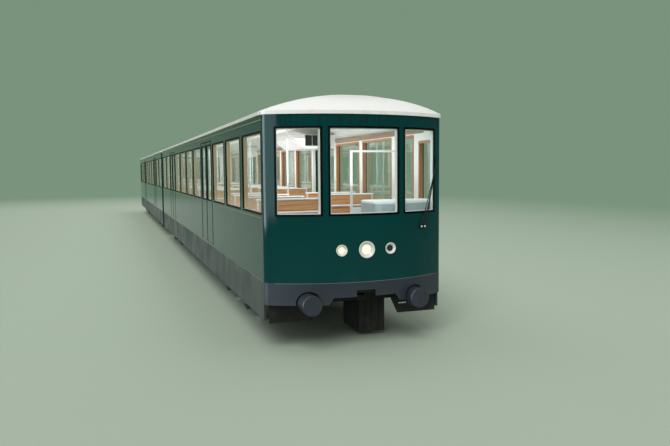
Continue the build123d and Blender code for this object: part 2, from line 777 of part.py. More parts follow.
def air_spring(y):
    """A two-lobed rubber spring on the right side frame."""
    seat = SIDE_FRAME_TOP_Z - 1
    low = seat + SPRING_PLATE
    high = BOLSTER_Z - MOVING_CLEARANCE
    middle = (low + high) / 2
    neck = SPRING_NECK
    outline = [
        Line((0, seat), (SPRING_RADIUS, seat)),
        Line((SPRING_RADIUS, seat), (SPRING_RADIUS, low)),
        Line((SPRING_RADIUS, low), (neck, low)),
        ThreePointArc((neck, low), (SPRING_RADIUS, (low + middle) / 2), (neck, middle)),
        ThreePointArc((neck, middle), (SPRING_RADIUS, (high + middle) / 2), (neck, high)),
        Line((neck, high), (0, high)),
        Line((0, high), (0, seat)),
    ]
    body = revolve(Plane.XZ * make_face(outline), Axis.Z)
    return Pos(BEARING_CENTRES / 2, y, 0) * body


def rail_brake(y):
    """Two jaws astride the line of the left rail's head, hung from the transom."""
    jaws = None
    x = -RAIL_CENTRES / 2
    half = JAW_LENGTH / 2
    for side in (-1, 1):
        near = x + side * JAW_GAP / 2
        far = near + side * JAW_THICKNESS
        toe = near - side * JAW_TOE
        outline = Polyline(
            (near, TRANSOM_Z + 1),
            (far, TRANSOM_Z + 1),
            (far, JAW_FOOT_Z),
            (toe, JAW_FOOT_Z),
            (toe, JAW_FOOT_Z + JAW_THICKNESS),
            (near, JAW_FOOT_Z + JAW_THICKNESS * 2),
            close=True,
        )
        jaw = extrude(Plane.XZ.offset(-(y + half)) * make_face(outline), JAW_LENGTH)
        jaws = jaw if jaws is None else jaws + jaw
    return jaws


def bogie_frame(y):
    """A bogie's frame with its axle boxes, springs, rail brakes and pivot hole."""
    x = BEARING_CENTRES / 2
    half = TRANSOM_WIDTH / 2
    top = TRANSOM_Z + TRANSOM_DEPTH
    right = side_frame(y) + air_spring(y)
    frame = block(-x, x, y - half, y + half, TRANSOM_Z, top) + right + mirrored(right)
    frame += rail_brake(y)
    frame += upright(PIVOT_BOSS_RADIUS, 0, y, TRANSOM_Z, top + PIVOT_BOSS_HEIGHT)
    hole = PIVOT_RADIUS + PIVOT_CLEARANCE
    return frame - upright(hole, 0, y, TRANSOM_Z - 1, top + PIVOT_BOSS_HEIGHT + 1)


def wheel_profile(x, flanged, width):
    """Points of one wheel's half section, from its inner hub face outwards along X."""
    hub = HUB_WIDTH / 2
    web = WEB / 2
    rim = width / 2
    inner = WHEEL_RADIUS - RIM
    start = [(x - hub, AXLE_RADIUS), (x - hub, HUB_RADIUS), (x - web, inner), (x - rim, inner)]
    tip = WHEEL_RADIUS + FLANGE
    tread = [(x - rim, WHEEL_RADIUS), (x + rim, WHEEL_RADIUS)]
    if flanged:
        tread = [
            (x - rim, tip),
            (x - rim + FLANGE_WIDTH, tip),
            (x - TREAD / 2, WHEEL_RADIUS),
            (x + TREAD / 2, WHEEL_RADIUS),
            (x + rim - FLANGE_WIDTH, tip),
            (x + rim, tip),
        ]
    finish = [(x + rim, inner), (x + web, inner), (x + hub, HUB_RADIUS), (x + hub, AXLE_RADIUS)]
    return start + tread + finish


def axle(y):
    """A wheelset: double-flanged wheel on the left, flat roller on the right, one axle."""
    end = BEARING_CENTRES / 2 + BEARING_WIDTH / 2
    shoulder = BEARING_CENTRES / 2 - BEARING_WIDTH / 2 - MOVING_CLEARANCE
    flanged_width = TREAD + 2 * (FLANGE_WIDTH + FLANGE / 3)
    points = [(-end, 0), (-end, JOURNAL_RADIUS), (-shoulder, JOURNAL_RADIUS), (-shoulder, AXLE_RADIUS)]
    points += wheel_profile(-RAIL_CENTRES / 2, True, flanged_width)
    points += wheel_profile(RAIL_CENTRES / 2, False, ROLLER_WIDTH)
    points += [(shoulder, AXLE_RADIUS), (shoulder, JOURNAL_RADIUS), (end, JOURNAL_RADIUS), (end, 0)]
    profile = make_face(Polyline(*points, close=True))
    return Pos(0, y, AXLE_Z) * revolve(profile, Axis.X)


def buffers():
    """Two round buffers: a bevelled head that runs in through the nose skirt, and its shank."""
    x = BUFFER_SPACING / 2
    face = CORNER_Y - BUFFER_REACH
    back = nose_y_at(x) + BUFFER_HEAD_BEHIND
    head = lengthbar(BUFFER_RADIUS, x, face, back, BUFFER_Z)
    rim = head.edges().filter_by(GeomType.CIRCLE).group_by(Axis.Y)[0]
    shank = lengthbar(BUFFER_SHANK_RADIUS, x, back - 1, CORNER_Y + HEADSTOCK_INSET, BUFFER_Z)
    return both_sides(chamfer(rim, BUFFER_BEVEL) + shank)


def guard_plates():
    """Black plates that hang from the headstock and clear the rails."""
    y = CORNER_Y + HEADSTOCK_INSET - GUARD_THICKNESS
    outer = HALF_WIDTH - GUARD_INSET
    outline = Polyline(
        (GUARD_TOP_INNER, NOSE_SKIRT_Z + FLOOR),
        (outer, NOSE_SKIRT_Z + FLOOR),
        (outer, GUARD_FOOT_Z),
        (GUARD_FOOT_INNER, GUARD_FOOT_Z),
        close=True,
    )
    plate = extrude(Plane.XZ.offset(-y - GUARD_THICKNESS) * make_face(outline), GUARD_THICKNESS)
    hole = BUFFER_SHANK_RADIUS + BEARING_CLEARANCE
    plate -= lengthbar(hole, BUFFER_SPACING / 2, y - 1, y + GUARD_THICKNESS + 1, BUFFER_Z)
    slot = (GUARD_SLOT_X - GUARD_SLOT / 2, GUARD_SLOT_X + GUARD_SLOT / 2)
    low = GUARD_SLOT_Z - GUARD_SLOT_HEIGHT / 2
    high = GUARD_SLOT_Z + GUARD_SLOT_HEIGHT / 2
    plate -= block(*slot, y - 1, y + GUARD_THICKNESS + 1, low, high)
    return both_sides(plate)


def lamps():
    """The round domed lenses of the three lamps."""
    found = []
    for x, radius, lens_radius in LAMPS:
        front = nose_y_at(x) + LAMP_LENS_BEHIND
        lens = lengthbar(lens_radius, x, front, front + LAMP_LENS, LAMP_Z)
        rim = lens.edges().filter_by(GeomType.CIRCLE).group_by(Axis.Y)[0]
        found.append(fillet(rim, LAMP_LENS_ROUND))
    return found


def lamp_rings():
    """The bright bowls that carry the lenses, each with a rounded lip proud of the nose."""
    found = []
    for x, radius, lens_radius in LAMPS:
        front = nose_y_at(x) - LAMP_PROUD
        lens_front = nose_y_at(x) + LAMP_LENS_BEHIND
        ring = lengthbar(radius - LAMP_FIT, x, front, nose_y_at(x) + LAMP_DEPTH, LAMP_Z)
        ring = fillet(ring.edges().filter_by(GeomType.CIRCLE).group_by(Axis.Y)[0], LAMP_LIP_ROUND)
        ring -= lengthbar(lens_radius, x, lens_front - 1, lens_front + LAMP_LENS, LAMP_Z)
        bowl = Cone(lens_radius, radius - LAMP_LIP, lens_front - front)
        found.append(ring - Pos(x, (front + lens_front) / 2, LAMP_Z) * Rot(90, 0, 0) * bowl)
    return found


def seat_places(first, last):
    """Places of seat rows that fit between two limits along Y."""
    room = last - first
    count = int(room // SEAT_PITCH)
    spare = (room - count * SEAT_PITCH) / 2
    return [first + spare + SEAT_PITCH * (index + 0.5) for index in range(count)]


def seat_rows(from_corner):
    """Places of all rows on one side: behind the cab, and between and behind the doors."""
    limits = [CORNER_Y + from_corner]
    for y0, y1 in doorways():
        limits += [y0 - SEAT_END_ROOM, y1 + SEAT_END_ROOM]
    limits.append(BACK_Y - END_WALL - SEAT_END_ROOM)
    rows = []
    for first, last in zip(limits[::2], limits[1::2]):
        rows += seat_places(first, last)
    return rows


def slatted_strip(start, end, count):
    """Outline of a slatted board from one point to another: slats on a thin batten."""
    run = Vector(*end) - Vector(*start)
    along = run.normalized()
    out = Vector(-along.Y, along.X)
    pitch = run.length / count
    gap = SLAT_GAP / 2
    near = (SEAT_BOARD - SLAT_BATTEN) / 2
    far = near + SLAT_BATTEN
    first = Vector(*start)
    last = Vector(*end)
    points = [last + out * near, last + out * far]
    for index in reversed(range(count)):
        high = first + along * (pitch * (index + 1) - gap)
        low = first + along * (pitch * index + gap)
        points += [high + out * far, high + out * SEAT_BOARD, low + out * SEAT_BOARD, low + out * far]
    points += [first + out * far, first + out * near]
    for index in range(count):
        high = first + along * (pitch * (index + 1) - gap)
        low = first + along * (pitch * index + gap)
        points += [low + out * near, low, high, high + out * near]
    return make_face(Polyline(*points, close=True))


def bench(facing):
    """A slatted bench for two on the right, facing along +Y or -Y."""
    z = FLOOR_Z + SEAT_HEIGHT - SEAT_BOARD
    half = SEAT_DEPTH / 2
    top = FLOOR_Z + SEAT_BACK_HEIGHT
    pitch = SLAT + SLAT_GAP
    seat = slatted_strip((-half, z), (half, z), round(SEAT_DEPTH / pitch))
    back_foot = (-half - SEAT_BOARD, z)
    back_top = (-half - SEAT_BACK_LEAN, top)
    back = slatted_strip(back_top, back_foot, round((top - z) / pitch))
    heel_y = -half + SLAT_GAP
    heel = make_face(
        Polyline(
            (-half - SEAT_BOARD, z),
            (heel_y, z),
            (heel_y, z + SEAT_BOARD),
            (-half - SEAT_BOARD, z + SEAT_BOARD),
            close=True,
        )
    )
    x1 = INSIDE_HALF - WALL_CLEARANCE
    shape = extrude(Plane.YZ.offset(x1 - SEAT_WIDTH) * (seat + back + heel), SEAT_WIDTH)
    return shape if facing > 0 else mirror(shape, about=Plane.XZ)


def bench_frame(facing):
    """The white tubes that carry a bench: legs, runners, back posts and two back rails."""
    x1 = INSIDE_HALF - WALL_CLEARANCE
    z = FLOOR_Z + SEAT_HEIGHT - SEAT_BOARD - TUBE_RADIUS - TUBE_FIT
    half = SEAT_DEPTH / 2
    top = FLOOR_Z + SEAT_BACK_HEIGHT + TUBE_RADIUS + TUBE_FIT
    behind = TUBE_RADIUS + TUBE_FIT * 2
    rail_y = -half - SEAT_BACK_LEAN
    back_y = -half - SEAT_BOARD - behind
    lean = (rail_y - behind - back_y) / (top - z)
    frame = crossbar(TUBE_RADIUS, x1 - SEAT_WIDTH, x1, rail_y, top)
    lower_y = rail_y - behind - lean * BACK_RAIL_DROP - TUBE_FIT * 2
    frame += crossbar(TUBE_RADIUS, x1 - SEAT_WIDTH, x1, lower_y, top - BACK_RAIL_DROP)
    for x in (x1 - SEAT_WIDTH + TUBE_RADIUS * 2, x1 - TUBE_RADIUS * 2):
        for y in (-half + TUBE_RADIUS * 2, half - TUBE_RADIUS * 2):
            frame += upright(POST_RADIUS, x, y, FLOOR_Z, z)
        frame += lengthbar(TUBE_RADIUS, x, back_y - POST_RADIUS, half, z)
        frame += bar_between((x, back_y, z), (x, rail_y - behind, top), POST_RADIUS)
    return frame if facing > 0 else mirror(frame, about=Plane.XZ)


def both_rows(right_piece):
    """A bench piece in every row, on the right and on the left."""
    left_piece = mirrored(right_piece)
    found = [Pos(0, y, 0) * right_piece for y in seat_rows(RIGHT_SEATS_FROM_CORNER)]
    return found + [Pos(0, y, 0) * left_piece for y in seat_rows(LEFT_SEATS_FROM_CORNER)]


def tube_frames(facing):
    """White tube frames under the benches and the poles beside the doors."""
    found = both_rows(bench_frame(facing))
    x = INSIDE_HALF - WALL_CLEARANCE - SEAT_WIDTH
    for y0, y1 in doorways():
        for y in (y0, y1):
            found += both_sides(upright(POLE_RADIUS, x, y, FLOOR_Z, ceiling_z(x + POLE_RADIUS) - TUBE_FIT))
    return found


def bar_between(start, end, radius):
    """A round bar from one point to another."""
    run = Vector(*end) - Vector(*start)
    return extrude(Plane(start, z_dir=run) * Circle(radius), run.length)


def console():
    """The driver's desk, shaped to the nose, with a round corner and a rounded top edge."""
    inset = WALL + LINING_PROUD + WALL_CLEARANCE
    top = FLOOR_Z + CONSOLE_HEIGHT
    back = CORNER_Y + CONSOLE_DEPTH
    desk = body_slab(inset, FLOOR_Z, top, back)
    desk &= block(CONSOLE_LEFT, HALF_WIDTH, CORNER_Y - NOSE_BOW, back, FLOOR_Z, top)
    left_edges = desk.edges().filter_by(Axis.Z).group_by(Axis.X)[0]
    desk = fillet(left_edges.sort_by(Axis.Y)[0], CONSOLE_CORNER)
    rim = desk.edges().group_by(Axis.Z)[-1]
    return fillet(rim, CONSOLE_ROUND)


def inner_screens():
    """The glazed screen's frame behind the driver and the covers over the doors' gear.

    The cover over the right front doorway also holds the air unit and is far wider."""
    y = CORNER_Y + PARTITION_FROM_CORNER
    top = FLOOR_Z + PARTITION_HEIGHT
    x1 = INSIDE_HALF - LINING_PROUD
    screen = block(PARTITION_LEFT, x1, y, y + PARTITION, FLOOR_Z, top)
    hole_edges = (PARTITION_LEFT + PARTITION, x1 - PARTITION, y - 1, y + PARTITION + 1)
    found = [screen - block(*hole_edges, WINDOW_SILL_Z, top - PARTITION)]
    low = INSIDE_HALF - PELMET_DEPTH / 3
    deep = INSIDE_HALF - PELMET_DEPTH
    outline = Polyline(
        (INSIDE_HALF, PELMET_Z),
        (low, PELMET_Z),
        (deep, PELMET_TOP_Z),
        (INSIDE_HALF, PELMET_TOP_Z),
        close=True,
    )
    wedge = Polyline(
        (INSIDE_HALF, PELMET_Z),
        (DOOR_GEAR_FOOT_X, PELMET_Z),
        (DOOR_GEAR_TIP_X, PELMET_TOP_Z),
        (INSIDE_HALF, PELMET_TOP_Z),
        close=True,
    )
    front_y0, front_y1 = bays_of("door")[0]
    found.append(extrude(Plane.XZ.offset(-front_y1) * make_face(wedge), front_y1 - front_y0))
    small = [(LEFT, front_y0, front_y1)]
    small += [(side, y0, y1) for y0, y1 in bays_of("door")[1:] for side in (LEFT, RIGHT)]
    for side, y0, y1 in small:
        cover = extrude(Plane.XZ.offset(-y1) * make_face(outline), y1 - y0)
        found.append(on_side(side, cover))
    return found


def nose_point(x, z, stand_off):
    """A point in front of the nose."""
    return (x, nose_y_at(x) - stand_off, z)


def wiper():
    """The parked wiper beside the right window: two arms from two hubs to one blade."""
    edge = nose_windows()[-1][1]
    foot = (edge - WIPER_FOOT_INSIDE, WIPER_FOOT_Z)
    tip = (edge + WIPER_TIP_OUTSIDE, WIPER_TIP_Z)
    hold = [a + (b - a) * WIPER_HOLD for a, b in zip(foot, tip)]
    whole = None
    for radius, off in [(WIPER_LIP_RADIUS, WIPER_LIP_STAND_OFF), (WIPER_BLADE_RADIUS, WIPER_BLADE_STAND_OFF)]:
        bar = bar_between(nose_point(*foot, off), nose_point(*tip, off), radius)
        whole = bar if whole is None else whole + bar
    for x in (edge - WIPER_PIVOT_INSIDE, edge - WIPER_PIVOT_INSIDE + WIPER_ARM_SPACING):
        start = nose_point(x, WIPER_PIVOT_Z, WIPER_ARM_STAND_OFF)
        whole += bar_between(start, nose_point(*hold, WIPER_BLADE_STAND_OFF), WIPER_ARM_RADIUS)
        hub_front = start[1] - WIPER_ARM_RADIUS
        hub = lengthbar(WIPER_PIVOT_RADIUS, x, hub_front, hub_front + WALL, WIPER_PIVOT_Z)
        whole += hub - body_slab(0, WAIST_Z, EAVE_Z)
    return whole


def section(facing, hinge_end):
    """Every piece of one section, by name."""
    return {
        "underframe": underframe(),
        "headstocks": headstocks(hinge_end),
        "bolsters": bolsters(),
        "floor": floor(),
        "right_wall": side_wall(RIGHT),
        "left_wall": side_wall(LEFT),
        "nose": nose(),
        "end_wall": end_wall(),
        "roof": roof(),
        "glazing": glazing(),
        "window_seals": window_seals(),
        "window_linings": window_linings(),
        "door_leaves": door_leaves(),
        "skirts": skirts(),
        "buffers": buffers(),
        "guard_plates": guard_plates(),
        "lamps": lamps(),
        "lamp_rings": lamp_rings(),
        "seats": both_rows(bench(facing)),
        "tube_frames": tube_frames(facing),
        "console": console(),
        "inner_screens": inner_screens(),
        "wiper": wiper(),
    }


def link():
    """The short drawbar between the sections: a rocking eye, a shank and a turning eye."""
    half = LINK_WIDTH / 2
    shank_z = LINK_DEPTH / 2
    eye = LINK_EYE_RADIUS
    bar = block(-half, half, -LINK_PIN_Y, LINK_PIN_Y, LINK_Z - shank_z, LINK_Z + shank_z)
    bar += crossbar(eye, -half, half, -LINK_PIN_Y, LINK_Z)
    bar += upright(eye, 0, LINK_PIN_Y, LINK_Z - shank_z, LINK_Z + shank_z)
    hole = LINK_PIN_RADIUS + LINK_PIN_CLEARANCE
    bar -= crossbar(hole, -eye, eye, -LINK_PIN_Y, LINK_Z)
    return bar - upright(hole, 0, LINK_PIN_Y, LINK_Z - eye, LINK_Z + eye)


def turned(shape):
    """A piece turned half round, for the upper section."""
    return Rot(0, 0, 180) * shape


def write(name, shape):
    """Writes one piece, whose solids share a name."""
    solids = shape if isinstance(shape, list) else [shape]
    kept = [solid for item in solids for solid in item.solids()]
    export_step(kept[0] if len(kept) == 1 else Compound(children=kept), f"parts/{name}.step")


os.makedirs("parts", exist_ok=True)
for name, shape in section(1, rocking_hinge_end).items():
    write(f"lower_{name}", shape)
for name, shape in section(-1, turning_hinge_end).items():
    pieces = shape if isinstance(shape, list) else [shape]
    write(f"upper_{name}", [turned(piece) for piece in pieces])
bogie_places = BOGIE_YS + [-y for y in reversed(BOGIE_YS)]
for number, y in enumerate(bogie_places, 1):
    write(f"bogie_frame_{number}", bogie_frame(y))
    write(f"axle_{2 * number - 1}", axle(y - WHEELBASE / 2))
    write(f"axle_{2 * number}", axle(y + WHEELBASE / 2))
write("link", link())
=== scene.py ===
"""Finishes of an articulated funicular car: paint, timber, glass, trim strips and the small gear of its bogies."""

import json
import math

import bmesh
import bpy
from mathutils import Matrix, Vector


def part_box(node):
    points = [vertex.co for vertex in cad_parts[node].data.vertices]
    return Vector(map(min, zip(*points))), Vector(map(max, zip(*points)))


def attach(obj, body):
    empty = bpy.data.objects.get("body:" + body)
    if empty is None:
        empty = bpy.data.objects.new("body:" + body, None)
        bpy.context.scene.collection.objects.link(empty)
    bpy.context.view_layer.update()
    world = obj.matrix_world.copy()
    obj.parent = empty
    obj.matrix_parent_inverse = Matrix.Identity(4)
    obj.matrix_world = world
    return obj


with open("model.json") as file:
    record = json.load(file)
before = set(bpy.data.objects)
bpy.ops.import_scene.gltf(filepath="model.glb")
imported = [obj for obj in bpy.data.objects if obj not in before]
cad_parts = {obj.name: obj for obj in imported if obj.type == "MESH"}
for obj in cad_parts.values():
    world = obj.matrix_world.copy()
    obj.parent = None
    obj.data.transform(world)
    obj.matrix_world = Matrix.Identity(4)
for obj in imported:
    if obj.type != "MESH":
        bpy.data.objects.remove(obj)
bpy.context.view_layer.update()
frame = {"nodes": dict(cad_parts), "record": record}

# Main sizes of the body, in metres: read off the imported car, with the few that no box of it gives
wall_low, wall_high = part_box("lower_left_wall")
nose_low, nose_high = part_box("lower_nose")
BODY_HALF = nose_high.x
WALL = wall_high.x - wall_low.x
WAIST_Z = wall_low.z
BACK_Y = wall_high.y
NOSE_Y = nose_low.y
NOSE_BOW = 0.36
CORNER_Y = NOSE_Y + NOSE_BOW
BOW_RADIUS = (BODY_HALF**2 + NOSE_BOW**2) / (2 * NOSE_BOW)
BOW_CENTRE_Y = NOSE_Y + BOW_RADIUS
END_WALL = 0.06
ROOF_ARCH_RADIUS = 3.44
ROOF_SHELL = 0.058
FLOOR_STEP = 0.044
roof_low, roof_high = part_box("lower_roof")
CEILING_TOP = roof_high.z - ROOF_SHELL
FLOOR_Z = WAIST_Z + FLOOR_STEP
DESK_TOP_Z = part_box("lower_console")[1].z
EAVE_Z = nose_high.z

# Bays of the side, from the nose corner: three windows, a doorway, four windows, a doorway, two windows
WINDOW_BAY = 1.4
DOOR_BAY = 1.5
FRONT_DOOR_Y = CORNER_Y + 3 * WINDOW_BAY
REAR_DOOR_Y = FRONT_DOOR_Y + DOOR_BAY + 4 * WINDOW_BAY
CORNER_ROUND = 0.1
DOORWAY = 1.38
DOOR_HEAD_Z = 2.905

# Nose windows: both edges across the car, then the sill and the head
NOSE_PANES = ((-1.122, -0.554), (-0.486, 0.486), (0.554, 1.122))
NOSE_SILL_Z = 1.762
NOSE_HEAD_Z = 2.89
NOSE_PANE_ROUND = 0.016

# Trim strips on the side: height of the middle, depth and how far they stand proud
GUTTER = (2.975, 0.018, 0.014)
SILL_STRIP = (1.738, 0.014, 0.009)
WAIST_STRIP = (0.9215, 0.009, 0.005)
NOSE_STRIP = (0.9110, 0.006, 0.002)

# Bogies and wheelsets: the axles' height, the face of the axle boxes' covers and the ring of their bolts
AXLE_Z = 0.276
AXLE_COVER_X = 1.106
COVER_BOLT_RING = 0.06

# Bolts: width across the flats and height of the head
GUARD_BOLT = (0.024, 0.014)
CASE_BOLT = (0.018, 0.010)
COVER_BOLT = (0.019, 0.011)

# A bolt from its washer up: radius as a share of its width, rise as a share of its height, and its sides
BOLT_PROFILE = ((0.72, 0.0, 24), (0.72, 0.2, 24), (0.5, 0.2, 6), (0.5, 0.85, 6), (0.42, 1.0, 6))
BOLT_POINTS = 24
HEXAGON_STRETCH = 1.08

axle_places = [sum(corner.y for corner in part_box(f"axle_{n}")) / 2 for n in range(1, 9)]

SHARP_EDGE = math.radians(35)
FULL_TURN = [math.radians(7.5 * i) for i in range(48)]
SECTIONS = (("lower", Matrix.Identity(4)), ("upper", Matrix.Rotation(math.pi, 4, "Z")))


# Mesh helpers
def add_block(bm, low, high):
    """A box between two corners, which a bevel then rounds."""
    corners = [
        bm.verts.new((x, y, z))
        for x in (low[0], high[0])
        for y in (low[1], high[1])
        for z in (low[2], high[2])
    ]
    for face in ((0, 1, 3, 2), (4, 6, 7, 5), (0, 4, 5, 1), (2, 3, 7, 6), (0, 2, 6, 4), (1, 5, 7, 3)):
        bm.faces.new([corners[i] for i in face])


def add_tube(bm, loops, closed=True):
    """A skin through loops of points, back to the first loop where it is closed."""
    rings = [[bm.verts.new(point) for point in loop] for loop in loops]
    pairs = list(zip(rings, rings[1:] + rings[:1])) if closed else list(zip(rings, rings[1:]))
    for first, second in pairs:
        for i in range(len(first)):
            j = (i + 1) % len(first)
            bm.faces.new((first[i], first[j], second[j], second[i]))
    if not closed:
        bm.faces.new(rings[0])
        bm.faces.new(rings[-1])


def nose_y(x, inset=0.0):
    """The nose's face at a place across the car, or a surface that lies behind it."""
    return BOW_CENTRE_Y - math.sqrt((BOW_RADIUS - inset) ** 2 - x * x)


def ceiling_z(x):
    """The arched ceiling at a place across the car."""
    return CEILING_TOP - ROOF_ARCH_RADIUS + math.sqrt(ROOF_ARCH_RADIUS**2 - x * x)


def rounded_outline(x0, x1, z0, z1, radius, arc_steps=6, edge_steps=24):
    """Points round a rectangle with round corners; its edges are divided, so that they can bend."""
    left, right = x0 + radius, x1 - radius
    low, high = z0 + radius, z1 - radius
    centres = ((right, high), (left, high), (left, low), (right, low))
    points = []
    for corner, (cx, cz) in enumerate(centres):
        for step in range(arc_steps + 1):
            angle = math.radians(90 * (corner + step / arc_steps))
            points.append((cx + radius * math.cos(angle), cz + radius * math.sin(angle)))
    spaced = []
    for i, (x, z) in enumerate(points):
        spaced.append((x, z))
        if i % (arc_steps + 1) == arc_steps:
            nx, nz = points[(i + 1) % len(points)]
            spaced += [(x + (nx - x) * k / edge_steps, z + (nz - z) * k / edge_steps) for k in range(1, edge_steps)]
    return spaced


def add_bolt(bm, place, outward, size):
    """A hexagon head on its washer, standing out along a direction."""
    across, height = size
    seat = Matrix.Translation(place) @ Vector(outward).to_track_quat("Z", "Y").to_matrix().to_4x4()
    loops = []
    for share, rise, sides in BOLT_PROFILE:
        loop = []
        for i in range(BOLT_POINTS):
            angle = 2 * math.pi * i / BOLT_POINTS
            reach = across * share
            if sides == 6:
                part = (angle + math.pi / 6) % (math.pi / 3) - math.pi / 6
                reach *= math.cos(math.pi / 6) / math.cos(part) * HEXAGON_STRETCH
            loop.append(seat @ Vector((reach * math.cos(angle), reach * math.sin(angle), height * rise)))
        loops.append(loop)
    add_tube(bm, loops, closed=False)


def make_piece(name, bm, material, body, round_edges=0.0):
    """Turns a bmesh into a piece that rides on a body."""
    bmesh.ops.recalc_face_normals(bm, faces=bm.faces)
    mesh = bpy.data.meshes.new(name)
    bm.to_mesh(mesh)
    bm.free()
    piece = bpy.data.objects.new(name, mesh)
    bpy.context.scene.collection.objects.link(piece)
    mesh.materials.append(material)
    mesh.shade_smooth()
    mesh.set_sharp_from_angle(angle=SHARP_EDGE)
    if round_edges:
        bevel = piece.modifiers.new("rounded edges", "BEVEL")
        bevel.width = round_edges
        bevel.segments = 3
        bevel.harden_normals = True
    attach(piece, body)
    return piece


def on_both_sections(name, draw, material, round_edges=0.0):
    """The same piece on the lower section and, turned half round, on the upper one."""
    for section, turn in SECTIONS:
        bm = bmesh.new()
        draw(bm)
        bm.transform(turn)
        make_piece(f"{section}_{name}", bm, material, f"{section}_section", round_edges)


# Shader helpers
def wire(tree, value, socket):
    """Links a socket to a value, or writes the value into it."""
    if isinstance(value, bpy.types.NodeSocket):
        tree.links.new(value, socket)
    elif hasattr(socket.default_value, "__len__") and len(value) == 3 and len(socket.default_value) == 4:
        socket.default_value = (*value, 1)
    else:
        socket.default_value = value


def put(tree, kind, inputs=None, **settings):
    """A new node of that kind, with its inputs wired or written."""
    node = tree.nodes.new(kind)
    for name, value in settings.items():
        setattr(node, name, value)
    for name, value in (inputs or {}).items():
        wire(tree, value, node.inputs[name])
    return node


def maths(tree, operation, *values):
    """The result of a Math node."""
    node = put(tree, "ShaderNodeMath", operation=operation)
    for socket, value in zip(node.inputs, values):
        wire(tree, value, socket)
    return node.outputs[0]


def ease(tree, value, start, end, low=0.0, high=1.0):
    """Goes smoothly from one level to another while a value goes from start to end."""
    sockets = {"Value": value, "From Min": start, "From Max": end, "To Min": low, "To Max": high}
    return put(tree, "ShaderNodeMapRange", sockets, interpolation_type="SMOOTHSTEP").outputs[0]


def mix_colours(tree, share, first, second):
    """One colour where share is 0, the other where it is 1."""
    node = put(tree, "ShaderNodeMix", data_type="RGBA")
    for index, value in ((0, share), (6, first), (7, second)):
        wire(tree, value, node.inputs[index])
    return node.outputs[2]


def mix_value(tree, share, first, second):
    """One value where share is 0, the other where it is 1."""
    node = put(tree, "ShaderNodeMix", data_type="FLOAT")
    for index, value in ((0, share), (2, first), (3, second)):
        wire(tree, value, node.inputs[index])
    return node.outputs[0]


def noise(tree, where, scale, detail=3.0):
    """Soft random clouds, from 0 to 1."""
    sockets = {"Vector": where, "Scale": scale, "Detail": detail}
    return put(tree, "ShaderNodeTexNoise", sockets).outputs["Fac"]


def place_on_car(tree):
    """The place on the car at rest, in metres."""
    return put(tree, "ShaderNodeTexCoord").outputs["Object"]


def axes_of(tree, where):
    """X, Y and Z of a place."""
    return put(tree, "ShaderNodeSeparateXYZ", {"Vector": where}).outputs


def bump(tree, height, distance, strength=1.0):
    """A normal that follows a height, where 1 stands that many metres proud."""
    return put(
        tree, "ShaderNodeBump", {"Height": height, "Distance": distance, "Strength": strength}
    ).outputs["Normal"]


def new_group(name, inputs, outputs):
    """An empty effect with named inputs and outputs: its tree, its input sockets and its end node."""
    tree = bpy.data.node_groups.new(name, "ShaderNodeTree")
    for label, value in inputs.items():
        kind = "NodeSocketVector" if isinstance(value, tuple) else "NodeSocketFloat"
        tree.interface.new_socket(label, in_out="INPUT", socket_type=kind).default_value = value
    for label in outputs:
        tree.interface.new_socket(label, in_out="OUTPUT", socket_type="NodeSocketFloat")
    return tree, put(tree, "NodeGroupInput").outputs, put(tree, "NodeGroupOutput").inputs


def use(tree, group, **inputs):
    """The outputs of an effect that is placed in a material."""
    node = put(tree, "ShaderNodeGroup", node_tree=group)
    for name, value in inputs.items():
        wire(tree, value, node.inputs[name.replace("_", " ")])
    return node.outputs


# Effects that several finishes share
def make_paint_surface():
    """Sprayed paint on a panel: slow waves, a fine orange peel, and gloss that varies."""
    tree, given, result = new_group(
        "paint surface", {"Gloss": 0.1, "Dulling": 0.08, "Peel scale": 420.0}, ("Height", "Roughness")
    )
    where = place_on_car(tree)
    waves = noise(tree, where, 3.2, 1.0)
    peel = noise(tree, where, given["Peel scale"], 1.0)
    height = maths(tree, "ADD", waves, maths(tree, "MULTIPLY", peel, 0.03))
    wire(tree, height, result["Height"])
    patches = ease(tree, noise(tree, where, 1.7, 5.0), 0.35, 0.7)
    dulled = maths(tree, "MULTIPLY_ADD", patches, given["Dulling"], given["Gloss"])
    wire(tree, dulled, result["Roughness"])
    return tree


def make_road_dust():
    """Dust that settles towards the wheels, thickest at the bottom and broken up by clouds."""
    tree, given, result = new_group(
        "road dust", {"Top": 0.9, "Bottom": 0.3, "Amount": 0.5}, ("Mask",)
    )
    where = place_on_car(tree)
    fall = ease(tree, axes_of(tree, where)[2], given["Top"], given["Bottom"])
    clouds = ease(tree, noise(tree, where, 5.0, 6.0), 0.3, 0.75)
    specks = ease(tree, noise(tree, where, 60.0, 2.0), 0.4, 0.7, 0.6, 1.0)
    mask = maths(tree, "MULTIPLY", maths(tree, "MULTIPLY", fall, clouds), specks)
    wire(tree, maths(tree, "MULTIPLY", mask, given["Amount"]), result["Mask"])
    return tree


def make_eave_shade_streaks():
    """Upright streaks that run down from an edge and fade: the mask of the painted shade under the roof's edge."""
    tree, given, result = new_group(
        "eave shade streaks", {"Top": 3.0, "Length": 0.3, "Width": 30.0, "Amount": 0.5}, ("Mask",)
    )
    where = place_on_car(tree)
    x, y, z = axes_of(tree, where)
    across = put(tree, "ShaderNodeCombineXYZ", {0: x, 1: y, 2: maths(tree, "MULTIPLY", z, 0.04)}).outputs[0]
    streaks = ease(tree, noise(tree, across, given["Width"], 3.0), 0.45, 0.7)
    drop = maths(tree, "DIVIDE", maths(tree, "SUBTRACT", given["Top"], z), given["Length"])
    fade = ease(tree, drop, 1.0, 0.0)
    below = maths(tree, "GREATER_THAN", drop, 0.0)
    mask = maths(tree, "MULTIPLY", maths(tree, "MULTIPLY", streaks, fade), below)
    wire(tree, maths(tree, "MULTIPLY", mask, given["Amount"]), result["Mask"])
    return tree


